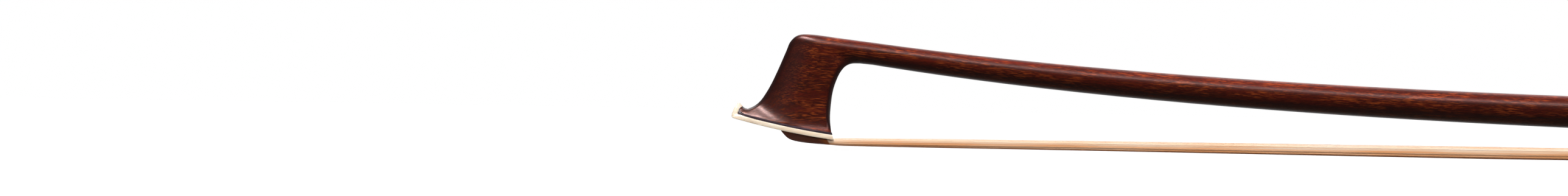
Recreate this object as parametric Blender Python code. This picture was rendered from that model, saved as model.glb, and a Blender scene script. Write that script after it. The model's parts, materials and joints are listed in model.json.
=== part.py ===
# A violin bow with its hair slackened: +X runs from the tip to the button, the hair is
# underneath, and the origin is under the middle of the bow at its lowest point.
import math

import bmesh
import bpy
from mathutils import Matrix, Vector

mm = 0.001

# Stick
stick_length = 728 * mm
tip_thickness = 5.3 * mm
butt_thickness = 8.6 * mm
thickening_length = 130 * mm
throat_along = 32 * mm
camber_height = 17.66 * mm
camber_fall = 0.0527
head_lift = 10.6 * mm
head_lift_fade = 77 * mm
straight_length = 108 * mm
octagon_length = 76 * mm
octagon_fade = 8 * mm

# Head
ridge_half = 0.3 * mm
ridge_reach = 11.5 * mm
cheek_top_half = 2.8 * mm
cheek_flare = 1.9 * mm
cheek_flare_height = 9 * mm
cove_height = 1.5 * mm
rear_chamfer = 1.4 * mm
rear_chamfer_depth = 0.36
head_mortise_start = 11.3 * mm
head_mortise_length = 9.0 * mm
head_mortise_half = 2.35 * mm
head_mortise_top = 10.3 * mm

# Tip plate and its liner
plate_length = 24.8 * mm
plate_nose_height = 6.78 * mm
plate_nose_angle = math.radians(-15.2)
plate_rear_angle = math.radians(-7.6)
plate_thickness = 1.05 * mm
liner_thickness = 0.55 * mm
plate_rear_half = 5.2 * mm
plate_nose_half = 1.7 * mm
beak_tip_half = 1.1 * mm

# Hair
hair_start = 27.2 * mm
hair_start_height = 1.4 * mm
hair_head_half = 4.65 * mm
hair_head_thickness = 1.7 * mm
hair_frog_half = 5.2 * mm
hair_frog_thickness = 1.0 * mm
hair_slice = 1.0 * mm
strand_columns = 45
strand_rows = 4
strand_radius = 0.085 * mm

# Frog, measured from the ferrule's front and up from its flat
frog_length = 46 * mm
frog_rise = 18.25 * mm
heel_to_end = 12.5 * mm
frog_travel = 5.5 * mm
frog_bottom_half = 6.2 * mm
frog_top_half = 5.55 * mm
frog_recess = 0.3 * mm
lip_thickness = 1.4 * mm
ferrule_length = 10 * mm
ferrule_half = 6.5 * mm
ferrule_height = 9.0 * mm
ferrule_wall = 0.4 * mm
ferrule_corner = 0.9 * mm
tongue_setback = 0.7 * mm
wedge_length = 5.4 * mm
wedge_thickness = 2.0 * mm
hair_channel_half = 3.9 * mm
hair_channel_depth = 1.5 * mm
frog_mortise_start = 21 * mm
frog_mortise_length = 10 * mm
frog_mortise_depth = 6.2 * mm
slide_half = 3.8 * mm
slide_dovetail = 0.5 * mm
pearl_thickness = 0.9 * mm
slide_back_thickness = 1.05 * mm
heel_plate_thickness = 0.5 * mm
heel_plate_foot = 9 * mm
heel_pin_radius = 0.55 * mm
heel_pin_length = 3.4 * mm
underslide_thickness = 0.35 * mm
underslide_screw_radius = 0.8 * mm
underslide_screw_length = 3.0 * mm
eye_along = 25.5 * mm
eye_height = 11.4 * mm
eye_radius = 3.1 * mm
eye_ring_radius = 4.5 * mm
eye_ring_width = 0.6 * mm
eye_depth = 1.1 * mm

# Screw, eyelet and button
screw_radius = 1.3 * mm
screw_nose_radius = 1.0 * mm
screw_nose_length = 12 * mm
screw_reach = 58 * mm
screw_tang = 9.4 * mm
thread_pitch = 0.8 * mm
eyelet_along = 18.5 * mm
eyelet_length = 4.6 * mm
eyelet_half = 2.1 * mm
eyelet_crown = 2.6 * mm
eyelet_stem_radius = 1.6 * mm
eyelet_stem_length = 7.0 * mm
nipple_radius = 3.2 * mm
nipple_length = 1.2 * mm
button_length = 12.9 * mm
button_belt = 6.2 * mm
collar_length = 3.1 * mm
collar_wall = 0.45 * mm
button_pearl_radius = 3.6 * mm
button_pearl_thickness = 0.8 * mm

# Grip
leather_length = 25 * mm
leather_thickness = 1.0 * mm
leather_to_frog = 4.5 * mm
lapping_turns = 24
lapping_pitch = 3.0 * mm
lapping_strip = 1.4 * mm
lapping_thickness = 0.4 * mm
underlay_thickness = 0.25 * mm
lapping_points = 24

# Clearances
glue_gap = 0.06 * mm
fit_gap = 0.15 * mm
loose_gap = 0.3 * mm
running_gap = 0.1 * mm
slide_gap = 0.2 * mm

octagon_corner = math.tan(math.pi / 8)
ring_sides = 10

# Lines of the head in the bow's own plane, as (along, height) in millimetres: the front
# and top of the wood, and beside each point the place behind it on the bottom or rear.
horn_lines = [
    ((2.42, 9.80), (2.36, 9.50), 0.5),
    ((3.00, 9.24), (2.16, 8.70), 0.66),
    ((3.60, 9.08), (2.20, 8.10), 0.85),
]
seat_lines = [(5.30, 9.88), (6.85, 11.30), (8.50, 13.85)]
cheek_lines = [
    ((8.50, 13.85), (23.90, 3.60)),
    ((9.70, 16.20), (23.50, 7.60)),
    ((11.20, 19.60), (24.02, 13.30)),
    ((12.70, 23.20), (25.25, 17.15)),
    ((13.70, 25.50), (26.50, 19.15)),
    ((15.68, 27.08), (27.60, 20.00)),
    ((19.20, 27.22), (28.80, 20.38)),
    ((25.00, 26.53), (30.60, 20.42)),
]
beak_outer = [(0.30, 6.70), (-0.12, 6.98), (-0.27, 7.45), (0.16, 8.90), (0.98, 10.50)]
beak_inner = [(1.75, 7.72), (1.38, 7.82), (1.30, 8.10), (1.55, 9.10), (1.72, 9.95)]


def clear_scene():
    for thing in list(bpy.data.objects):
        bpy.data.objects.remove(thing, do_unlink=True)


def frame(name, parent=None):
    empty = bpy.data.objects.new(name, None)
    empty.empty_display_size = 10 * mm
    empty.parent = parent
    bpy.context.scene.collection.objects.link(empty)
    return empty


def material(name, colour, roughness, metallic=0.0):
    made = bpy.data.materials.new(name)
    made.use_nodes = True
    shader = made.node_tree.nodes["Principled BSDF"]
    shader.inputs["Base Color"].default_value = (*colour, 1)
    shader.inputs["Roughness"].default_value = roughness
    shader.inputs["Metallic"].default_value = metallic
    made.diffuse_color = (*colour, 1)
    return made


def add_object(name, shape, finish, parent):
    mesh = bpy.data.meshes.new(name)
    bmesh.ops.recalc_face_normals(shape, faces=shape.faces)
    shape.to_mesh(mesh)
    shape.free()
    mesh.materials.append(finish)
    mesh.shade_smooth()
    mesh.set_sharp_from_angle(angle=math.radians(32))
    made = bpy.data.objects.new(name, mesh)
    made.parent = parent
    bpy.context.scene.collection.objects.link(made)
    return made


def loft(rings, endless=False):
    """Skins rings of points with quads. Endless rings close on the first, others get caps."""
    shape = bmesh.new()
    loops = [[shape.verts.new(point) for point in ring] for ring in rings]
    count = len(loops[0])
    follow = loops[1:] + loops[:1] if endless else loops[1:]
    for loop, after in zip(loops, follow):
        for i in range(count):
            j = (i + 1) % count
            shape.faces.new((loop[i], loop[j], after[j], after[i]))
    if not endless:
        shape.faces.new(loops[0])
        shape.faces.new(loops[-1])
    return shape


def sideways(outline, half):
    """Extrudes an outline of (along, height) points across the bow."""
    shape = bmesh.new()
    face = shape.faces.new([shape.verts.new((x, -half, z)) for x, z in outline])
    grown = bmesh.ops.extrude_face_region(shape, geom=[face])["geom"]
    moved = [part for part in grown if isinstance(part, bmesh.types.BMVert)]
    bmesh.ops.translate(shape, vec=(0, 2 * half, 0), verts=moved)
    return shape


def lengthways(section, start, end):
    """Extrudes a section of (across, height) points along the bow."""
    shape = bmesh.new()
    face = shape.faces.new([shape.verts.new((start, y, z)) for y, z in section])
    grown = bmesh.ops.extrude_face_region(shape, geom=[face])["geom"]
    moved = [part for part in grown if isinstance(part, bmesh.types.BMVert)]
    bmesh.ops.translate(shape, vec=(end - start, 0, 0), verts=moved)
    return shape


def circle(radius, sides, turn=0.0):
    angles = [2 * math.pi * i / sides + turn for i in range(sides)]
    return [(radius * math.cos(a), radius * math.sin(a)) for a in angles]


def turned(profile, sides=20, height=0.0, turn=0.0):
    """A solid of (along, radius) points round an axis that runs along the bow."""
    return loft(
        [[(x, y, height + z) for y, z in circle(r, sides, turn)] for x, r in profile]
    )


def octagon(half):
    return circle(half / math.cos(math.pi / 8), 8, math.pi / 8)


def pierced(outer, inner, start, end):
    """A ring piece: an outer section with an inner one of as many points cut through."""
    order = [(start, outer), (end, outer), (end, inner), (start, inner)]
    return loft([[(x, y, z) for y, z in section] for x, section in order], endless=True)


def crossways(radius, sides, along, height, near, far):
    """A round peg across the bow."""
    return loft(
        [[(along + x, y, height + z) for x, z in circle(radius, sides)] for y in (near, far)]
    )


def upright(radius, sides, along, low, high):
    """A round peg that stands square to the axis of the handle."""
    return loft(
        [[(along + x, y, z) for x, y in circle(radius, sides)] for z in (low, high)]
    )


def arc(along, height, radius, start, end, steps):
    angles = [math.radians(start + (end - start) * i / steps) for i in range(steps + 1)]
    return [(along + radius * math.cos(a), height + radius * math.sin(a)) for a in angles]


def smooth_line(points, place):
    """A point on the smooth curve through points, at place counted in points."""
    index = min(int(place), len(points) - 2)
    part = place - index
    before = points[max(index - 1, 0)]
    after = points[min(index + 2, len(points) - 1)]
    first, second = points[index], points[index + 1]
    found = []
    for p0, p1, p2, p3 in zip(before, first, second, after):
        bend = (2 * p0 - 5 * p1 + 4 * p2 - p3) * part**2 + (3 * p1 - p0 - 3 * p2 + p3) * part**3
        found.append(p1 + 0.5 * ((p2 - p0) * part + bend))
    return tuple(found)


def boolean(target, shape, name, operation="DIFFERENCE"):
    """Cuts a shape out of target, or joins it on, with a hidden helper object."""
    helper = add_object(name, shape, target.data.materials[0], target.parent)
    helper.hide_render = True
    helper.display_type = "WIRE"
    step = target.modifiers.new(name, "BOOLEAN")
    step.operation = operation
    step.solver = "EXACT"
    step.object = helper


# The plate's underside is an arc whose centre is high above the bow.
plate_radius = plate_length / (plate_rear_angle - plate_nose_angle)
plate_centre_along = -plate_radius * math.sin(plate_nose_angle)
plate_centre_height = plate_nose_height + plate_radius * math.cos(plate_nose_angle)
liner_seat = plate_thickness + glue_gap
wood_seat = liner_seat + liner_thickness + glue_gap


def on_plate(along, depth=0.0):
    """The point at a depth inside the plate's underside, above the place along it."""
    radius = plate_radius - depth
    return along, plate_centre_height - math.sqrt(radius**2 - (along - plate_centre_along) ** 2)


def height_over_plate(along, height):
    reach = math.hypot(along - plate_centre_along, height - plate_centre_height)
    return plate_radius - wood_seat - reach


def plan_half(along):
    """Half the plate's width at a place along it: pointed at the nose, full at the rear."""
    share = min(max(along / plate_length, 0.0), 1.0)
    return plate_nose_half + (plate_rear_half - plate_nose_half) * (1 - (1 - share) ** 2.4) ** 0.8


straight_from = stick_length - straight_length
frog_front = -(heel_to_end + frog_length)
frog_front_along = stick_length + frog_front
axis_over_ferrule = frog_rise + butt_thickness / 2
fade_there = math.exp(-straight_from / head_lift_fade)
plain_height = camber_height - camber_fall * straight_from + head_lift * fade_there
plain_slope = -camber_fall - head_lift / head_lift_fade * fade_there
run_past = frog_front_along - straight_from
ferrule_drop = 0.6 * mm
camber_rise = (axis_over_ferrule - ferrule_drop - plain_height - plain_slope * run_past) / (
    straight_from**2 + 2 * straight_from * run_past
)


def stick_axis(along):
    """Height and slope of the stick's centre line. It bends up to straight_from, then runs straight."""
    bent = min(along, straight_from)
    fade = math.exp(-bent / head_lift_fade)
    height = camber_height - camber_fall * bent + camber_rise * bent**2 + head_lift * fade
    slope = -camber_fall + 2 * camber_rise * bent - head_lift / head_lift_fade * fade
    return height + slope * (along - bent), slope


def stick_half(along):
    grown = 1 - math.exp(-(along - throat_along) / thickening_length)
    return (tip_thickness + (butt_thickness - tip_thickness) * grown) / 2


handle_slope = stick_axis(stick_length)[1]
handle_angle = math.atan(handle_slope)

round_angles = [math.radians(9 + 18 * i) for i in range(ring_sides)]
octagon_angles = [math.radians(a) for a in (9, 22.5, 37.5, 52.5, 67.5, 112.5, 127.5, 142.5, 157.5, 171)]


def stick_section(along, proud=0.0):
    """Half the stick's outline as (across, up) points from top to bottom, round or eight-sided."""
    faceted = (along - (stick_length - octagon_length - octagon_fade)) / octagon_fade
    faceted = min(max(faceted, 0.0), 1.0)
    half = stick_half(along)
    points = []
    for round_angle, flat_angle in zip(round_angles, octagon_angles):
        angle = round_angle + (flat_angle - round_angle) * faceted
        off_flat = (flat_angle + math.pi / 8) % (math.pi / 4) - math.pi / 8
        flat_reach = (butt_thickness / 2 + proud) / math.cos(off_flat)
        reach = (half + proud) * (1 - faceted) + flat_reach * faceted
        points.append((reach * math.sin(angle), reach * math.cos(angle)))
    return points


def stick_ring(along, proud=0.0):
    """The ring of points round the stick, square to its centre line."""
    height, slope = stick_axis(along)
    tilt = math.atan(slope)
    points = stick_section(along, proud)
    around = points + [(-y, up) for y, up in reversed(points)]
    return [(along - up * math.sin(tilt), y, height + up * math.cos(tilt)) for y, up in around]


def head_ring(front, rear, stickness, chamfered, squeeze=1.0):
    """A ring of the head between a front and a rear point, from ridge to rear face."""
    length = math.dist(front, rear)
    reach = min(ridge_reach, 0.6 * length)
    edge = 1 - min(rear_chamfer / length, 0.2)
    shares = (0, 0.03, 0.09, 0.18, 0.31, 0.46, 0.62, 0.78, edge, 1)
    side = []
    for share, angle in zip(shares, round_angles):
        place = share + ((1 - math.cos(angle)) / 2 - share) * stickness
        along = front[0] + (rear[0] - front[0]) * place
        height = front[1] + (rear[1] - front[1]) * place
        over = max(height_over_plate(along, height), 0.0)
        cheek = cheek_top_half + cheek_flare * math.exp(-over / cheek_flare_height)
        depth = min(place * length / reach, 1.0)
        cheek = ridge_half + (cheek - ridge_half) * (1 - (1 - depth) ** 2.2)
        if place > edge + 0.001:
            cheek *= 1 - rear_chamfer_depth * chamfered
        cove = math.exp(-((over / cove_height) ** 1.1))
        half = (cheek + (plan_half(along) - cheek) * cove) * squeeze
        half += (length / 2 * math.sin(angle) - half) * stickness
        side.append((along, half, height))
    return side + [(x, -y, z) for x, y, z in reversed(side)]


def head_rings(per_line=2):
    """The head's rings, from the horn behind the beak round to the start of the stick."""
    horn = [(Vector(front) * mm, Vector(rear) * mm) for front, rear, share in horn_lines]
    seat_fronts = [horn[-1][0]] + [Vector(front) * mm for front in seat_lines]
    cheeks = [(Vector(front) * mm, Vector(rear) * mm) for front, rear in cheek_lines]
    shares = [share for front, rear, share in horn_lines]
    rings = [head_ring(front, rear, 0, 0, share) for (front, rear), share in zip(horn, shares)]
    seat_steps = 3 * per_line
    for step in range(1, seat_steps):
        front = smooth_line(seat_fronts, step / seat_steps * (len(seat_fronts) - 1))
        along = horn[-1][1][0] + (cheeks[0][1][0] - horn[-1][1][0]) * step / seat_steps
        rings.append(head_ring(front, on_plate(along, wood_seat), 0, 0))
    fronts = [front for front, rear in cheeks]
    rears = [Vector(on_plate(cheeks[0][1][0], wood_seat))] + [rear for front, rear in cheeks[1:]]
    cheek_steps = (len(cheeks) - 1) * per_line
    for step in range(cheek_steps + 1):
        place = step / per_line
        stickness = max(place - (len(cheeks) - 4), 0.0) / 3.6
        chamfered = min(place, 1.0)
        rings.append(
            head_ring(smooth_line(fronts, place), smooth_line(rears, place), stickness, chamfered)
        )
    return rings


def build_stick(finish, parent):
    rings = head_rings()
    along = throat_along + 3 * mm
    spacing = 6 * mm
    while along < stick_length - octagon_length - octagon_fade - spacing:
        rings.append(stick_ring(along))
        along += spacing
        spacing = min(spacing * 1.3, 28 * mm)
    for along in (
        stick_length - octagon_length - octagon_fade,
        stick_length - octagon_length - octagon_fade / 2,
        stick_length - octagon_length,
        stick_length,
    ):
        rings.append(stick_ring(along))
    height, slope = stick_axis(stick_length)
    tilt = math.atan(slope)
    angles = round_angles + [2 * math.pi - a for a in reversed(round_angles)]
    for out in (0.0, nipple_length):
        rings.append(
            [
                (
                    stick_length + out * math.cos(tilt) - nipple_radius * math.cos(a) * math.sin(tilt),
                    nipple_radius * math.sin(a),
                    height + out * math.sin(tilt) + nipple_radius * math.cos(a) * math.cos(tilt),
                )
                for a in angles
            ]
        )
    stick = add_object("stick", loft(rings), finish, parent)
    low = (head_mortise_start, -5 * mm)
    high = (head_mortise_start + head_mortise_length, head_mortise_top)
    outline = [low, (high[0], low[1]), high, (low[0], high[1])]
    boolean(stick, sideways(outline, head_mortise_half), "head_mortise")
    return stick


def cut_handle(stick, handle):
    """Bores the stick for the screw and mortises it for the eyelet, along the handle."""
    bore = turned(
        [
            (-screw_reach - 2 * mm, screw_nose_radius + fit_gap),
            (-screw_reach + screw_nose_length - 0.5 * mm, screw_nose_radius + fit_gap),
            (-screw_reach + screw_nose_length - 0.5 * mm, screw_radius + running_gap),
            (nipple_length + 1 * mm, screw_radius + running_gap),
        ]
    )
    boolean(stick, bore, "screw_bore")
    start = frog_front + eyelet_along - eyelet_length / 2 - 2.2 * mm
    end = frog_front + eyelet_along + eyelet_length / 2 + frog_travel + 10 * mm
    low = -butt_thickness / 2 - 1 * mm
    top = eyelet_crown + 0.5 * mm
    outline = [(start, low), (end, low), (end, top), (start, top)]
    boolean(stick, sideways(outline, eyelet_half + loose_gap), "eyelet_mortise")
    for helper in ("screw_bore", "eyelet_mortise"):
        bpy.data.objects[helper].parent = handle


def strip_rings(stations):
    """Flat rings with cut corners, from (outer point, inner point, half width) stations."""
    rings = []
    for outer, inner, half in stations:
        outer, inner = Vector(outer), Vector(inner)
        cut = min((outer - inner).length * 0.2, half * 0.2)
        corner = (inner - outer).normalized() * cut
        side = [
            (outer, half - cut),
            (outer + corner, half),
            (inner - corner, half),
            (inner, half - cut),
        ]
        ring = [(point.x, y, point.y) for point, y in side]
        rings.append(ring + [(x, -y, z) for x, y, z in reversed(ring)])
    return rings


def head_opening(name):
    start = head_mortise_start - fit_gap
    end = head_mortise_start + head_mortise_length + fit_gap
    outline = [(start, -5 * mm), (end, -5 * mm), (end, head_mortise_top), (start, head_mortise_top)]
    return sideways(outline, head_mortise_half), name


def build_tip_plate(finish, parent):
    stations = []
    for step in range(9):
        along = plate_length * (0.978 - 0.105 * step)
        rear_lean = 0.14 * mm if step == 0 else 0.0
        inner = on_plate(along + rear_lean, plate_thickness)
        stations.append((on_plate(along), inner, plan_half(along)))
    rise = [plate_nose_half * k for k in (1.3, 1.15, 1.05, 0.9)] + [beak_tip_half]
    for outer, inner, half in zip(beak_outer, beak_inner, rise):
        stations.append((Vector(outer) * mm, Vector(inner) * mm, half))
    plate = add_object("tip_plate", loft(strip_rings(stations)), finish, parent)
    boolean(plate, *head_opening("tip_plate_opening"))


def build_tip_liner(finish, parent):
    stations = []
    for step in range(9):
        along = plate_length * (0.972 - 0.1 * step)
        outer = on_plate(along, liner_seat)
        inner = on_plate(along, liner_seat + liner_thickness)
        stations.append((outer, inner, plan_half(along)))
    outer_line = [(1.62, 7.95), (1.46, 8.12), (1.62, 9.00), (1.82, 9.78)]
    inner_line = [(2.35, 7.86), (2.06, 8.10), (2.06, 8.85), (2.24, 9.62)]
    rise = [plate_nose_half * k for k in (1.15, 1.0, 0.86, 0.66)]
    for outer, inner, half in zip(outer_line, inner_line, rise):
        stations.append((Vector(outer) * mm, Vector(inner) * mm, half))
    liner = add_object("tip_liner", loft(strip_rings(stations)), finish, parent)
    boolean(liner, *head_opening("tip_liner_opening"))


def build_tip_hair(finish, thread, parent):
    """The knot in the head's mortise and the bundle that bends out of it over the plug."""
    knot_front = head_mortise_start + 0.5 * mm
    knot_rear = knot_front + 1.7 * mm
    knot_top = head_mortise_top - 0.7 * mm
    knot_half = head_mortise_half - 0.5 * mm
    under = -fit_gap
    stations = [((knot_front, z), (knot_rear, z), knot_half) for z in (knot_top, knot_top - 3 * mm)]
    stations += [
        ((knot_front, 4.3 * mm), (knot_rear, 4.7 * mm), knot_half),
        ((12.65 * mm, 2.8 * mm), (14.3 * mm, 3.3 * mm), head_mortise_half - 0.2 * mm),
        ((14.1 * mm, 1.78 * mm), on_plate(15.8 * mm, under), head_mortise_half + 0.5 * mm),
        ((17.2 * mm, 1.2 * mm), on_plate(18.2 * mm, under), head_mortise_half + 1.1 * mm),
        ((21.0 * mm, 0.86 * mm), on_plate(21.4 * mm, under), hair_head_half - 0.45 * mm),
        ((24.5 * mm, 0.64 * mm), on_plate(24.6 * mm, under), hair_head_half - 0.15 * mm),
    ]
    end = hair_start - loose_gap
    low = hair_start_height - hair_head_thickness / 2
    high = hair_start_height + hair_head_thickness / 2
    stations.append(((end, low), (end, high), hair_head_half))
    add_object("tip_hair", loft(strip_rings(stations)), finish, parent)
    bound = 0.25 * mm
    inner = [knot_front - running_gap, knot_rear + running_gap, knot_half + running_gap]
    outer = [inner[0] - bound, inner[1] + bound, inner[2] + bound]
    rings = []
    for size, z in ((outer, knot_top - 2 * mm), (outer, knot_top - 1 * mm), (inner, knot_top - 1 * mm), (inner, knot_top - 2 * mm)):
        front, rear, half = size
        rings.append([(front, -half, z), (rear, -half, z), (rear, half, z), (front, half, z)])
    add_object("tip_knot_thread", loft(rings, endless=True), thread, parent)
    return knot_rear + bound + running_gap


def build_tip_plug(finish, parent, start):
    start += fit_gap
    end = head_mortise_start + head_mortise_length - fit_gap
    top = head_mortise_top - 0.5 * mm
    outline = [on_plate(start, 0.2 * mm), on_plate(end, 0.2 * mm), (end, top), (start, top)]
    shape = sideways(outline, head_mortise_half - fit_gap)
    add_object("tip_plug", shape, finish, parent)


def hair_stations():
    """(along, height, half width, thickness) of the ribbon's ends, at the head and in the ferrule."""
    inside = tongue_setback + 0.9 * mm
    height, slope = stick_axis(frog_front_along)
    lift = axis_over_ferrule - ferrule_wall - 0.2 * mm - hair_frog_thickness / 2
    across_axis = math.cos(handle_angle)
    end = frog_front_along + lift * math.sin(handle_angle) + inside * across_axis
    end_height = height - lift * across_axis + inside * math.sin(handle_angle)
    return [
        (hair_start, hair_start_height, hair_head_half, hair_head_thickness),
        (end, end_height, hair_frog_half, hair_frog_thickness),
    ]


def hair_slices(stations):
    """The two bound slices that the strands run between."""
    shape = bmesh.new()
    for along, height, half, thickness in (stations[0], stations[-1]):
        start = along if along == stations[0][0] else along - hair_slice
        bmesh.ops.create_cube(
            shape,
            size=1,
            matrix=Matrix.Translation((start + hair_slice / 2, 0, height))
            @ Matrix.Diagonal((hair_slice, 2 * half, thickness, 1)),
        )
    return shape


def strand_rings(stations, column, row):
    """One strand's three-sided rings, keeping its column and row all along the ribbon."""
    across = (column + 0.5 * (row % 2) + 0.25) / strand_columns * 2 - 1
    layer = (row + 0.5) / strand_rows * 2 - 1
    layer *= 0.8 * math.sqrt(1 - 0.5 * across**2)
    rings = []
    for index, (along, height, half, thickness) in enumerate(stations):
        place = along + (hair_slice / 2, -hair_slice / 2)[index]
        y = across * (half - 3 * strand_radius)
        z = height + layer * thickness / 2
        rings.append([(place, y + cy, z + cz) for cy, cz in circle(strand_radius, 3, math.pi / 2)])
    return rings


def build_hair(finish, parent):
    stations = hair_stations()
    ribbon = add_object("hair_ribbon", hair_slices(stations), finish, parent)
    strands = bmesh.new()
    for row in range(strand_rows):
        for column in range(strand_columns):
            loops = [
                [strands.verts.new(point) for point in ring]
                for ring in strand_rings(stations, column, row)
            ]
            for loop, after in zip(loops, loops[1:]):
                for i in range(3):
                    j = (i + 1) % 3
                    strands.faces.new((loop[i], loop[j], after[j], after[i]))
            strands.faces.new(loops[0])
            strands.faces.new(loops[-1])
    boolean(ribbon, strands, "hair_strands", "UNION")
    weld = ribbon.modifiers.new("weld", "WELD")
    weld.merge_threshold = strand_radius / 8


def sleeve(start, end, inner, outer, steps):
    """A tube round the stick, following its bend and its facets."""
    places = [start + (end - start) * i / steps for i in range(steps + 1)]
    rings = [stick_ring(place, outer) for place in places]
    rings += [stick_ring(place, inner) for place in reversed(places)]
    return loft(rings, endless=True)


leather_end = frog_front_along + ferrule_length - 3.5 * mm - leather_to_frog - frog_travel
leather_start = leather_end - leather_length
lapping_end = leather_start - loose_gap
lapping_start = lapping_end - lapping_turns * lapping_pitch - lapping_strip


def build_grip(leather, dark, light, parent):
    shape = sleeve(leather_start, leather_end, fit_gap, fit_gap + leather_thickness, 5)
    add_object("thumb_leather", shape, leather, parent)
    shape = sleeve(lapping_start, lapping_end, glue_gap, glue_gap + underlay_thickness, 4)
    add_object("lapping_light", shape, light, parent)
    rings = []
    steps = lapping_turns * lapping_points
    inner = glue_gap + underlay_thickness + running_gap
    for step in range(steps + 1):
        centre = lapping_start + lapping_strip / 2 + lapping_pitch * step / lapping_points
        height, slope = stick_axis(centre)
        tilt = math.atan(slope)
        turn = 2 * math.pi * step / lapping_points
        half = stick_half(centre) / math.cos(math.pi / lapping_points)
        ring = []
        for side, proud in ((-1, inner), (-1, inner + lapping_thickness), (1, inner + lapping_thickness), (1, inner)):
            reach = half + proud
            aside = side * lapping_strip / 2
            up = reach * math.cos(turn)
            ring.append(
                Vector(
                    (
                        centre + aside * math.cos(tilt) - up * math.sin(tilt),
                        reach * math.sin(turn),
                        height + aside * math.sin(tilt) + up * math.cos(tilt),
                    )
                )
            )
        rings.append(ring)
    add_object("lapping_dark", loft(rings), dark, parent)
    report_gap(rings)


def report_gap(rings):
    """Prints the least distance between one turn of the dark strip and the next."""
    least = min(
        (ahead - behind).length
        for ring, after in zip(rings, rings[lapping_points:])
        for behind in ring[2:]
        for ahead in after[:2]
    )
    print(f"lapping: {lapping_turns} turns, least gap to itself {least / mm:.2f} mm")


def d_section(half, low, top, corner):
    """A section with a flat foot, upright sides and a half-round crown."""
    centre = top - half
    crown = arc(0, centre, half, 0, 180, 16)
    left = arc(-half + corner, low + corner, corner, 180, 270, 3)
    right = arc(half - corner, low + corner, corner, 270, 360, 3)
    return crown + left + right


def frog_section():
    """The frog's own section, narrower towards the stick."""
    top = frog_top_height
    half = [
        (frog_bottom_half - 0.35 * mm, frog_recess),
        (frog_bottom_half - 0.05 * mm, frog_recess + 0.5 * mm),
        (frog_bottom_half, top * 0.2),
        (frog_bottom_half * 0.7 + frog_top_half * 0.3, top * 0.42),
        (frog_bottom_half * 0.25 + frog_top_half * 0.75, top * 0.68),
        (frog_top_half, top * 0.86),
        (frog_top_half, top),
    ]
    return half + [(-y, z) for y, z in reversed(half)]


channel_half = butt_thickness / 2 + slide_gap + underslide_thickness + glue_gap
channel_floor = axis_over_ferrule - channel_half
frog_top_height = axis_over_ferrule - butt_thickness / 2 * octagon_corner - 0.3 * mm
tongue_floor = ferrule_wall + fit_gap + 1.25 * mm + wedge_thickness + 2 * fit_gap
slide_top = frog_recess + pearl_thickness + slide_back_thickness + running_gap
channel_top = slide_top + hair_channel_depth + fit_gap
body_front = ferrule_length + loose_gap
heel_face = frog_length - heel_plate_thickness - glue_gap
foot_front = frog_length - heel_plate_foot
throat_radius = 0.55 * (channel_floor - lip_thickness - ferrule_height)
throat_height = channel_floor - lip_thickness - throat_radius
throat_foot = math.degrees(math.asin((ferrule_height - throat_height) / throat_radius))
throat_along_frog = body_front + 0.4 * mm - throat_radius * math.cos(math.radians(throat_foot))


def frog_outline():
    step_height = frog_recess + heel_plate_thickness + glue_gap
    lip = throat_along_frog - 1.6 * mm
    throat = arc(throat_along_frog, throat_height, throat_radius, 90, throat_foot, 10)
    return [
        (body_front, frog_recess - 1 * mm),
        (foot_front - glue_gap, frog_recess - 1 * mm),
        (foot_front - glue_gap, step_height),
        (heel_face, step_height),
        (heel_face, frog_top_height + 1 * mm),
        (lip + 0.9 * mm, frog_top_height + 1 * mm),
        (lip + 0.6 * mm, frog_top_height - 0.4 * mm),
        (lip, channel_floor + 0.4 * mm),
        (lip + 0.1 * mm, channel_floor - lip_thickness * 0.5),
        (lip + 0.6 * mm, channel_floor - lip_thickness * 0.9),
        *throat,
        (body_front, ferrule_height),
    ]


def frog_box(name, target, start, end, half, low, high):
    outline = [(start, low), (end, low), (end, high), (start, high)]
    boolean(target, sideways(outline, half), name)


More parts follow.
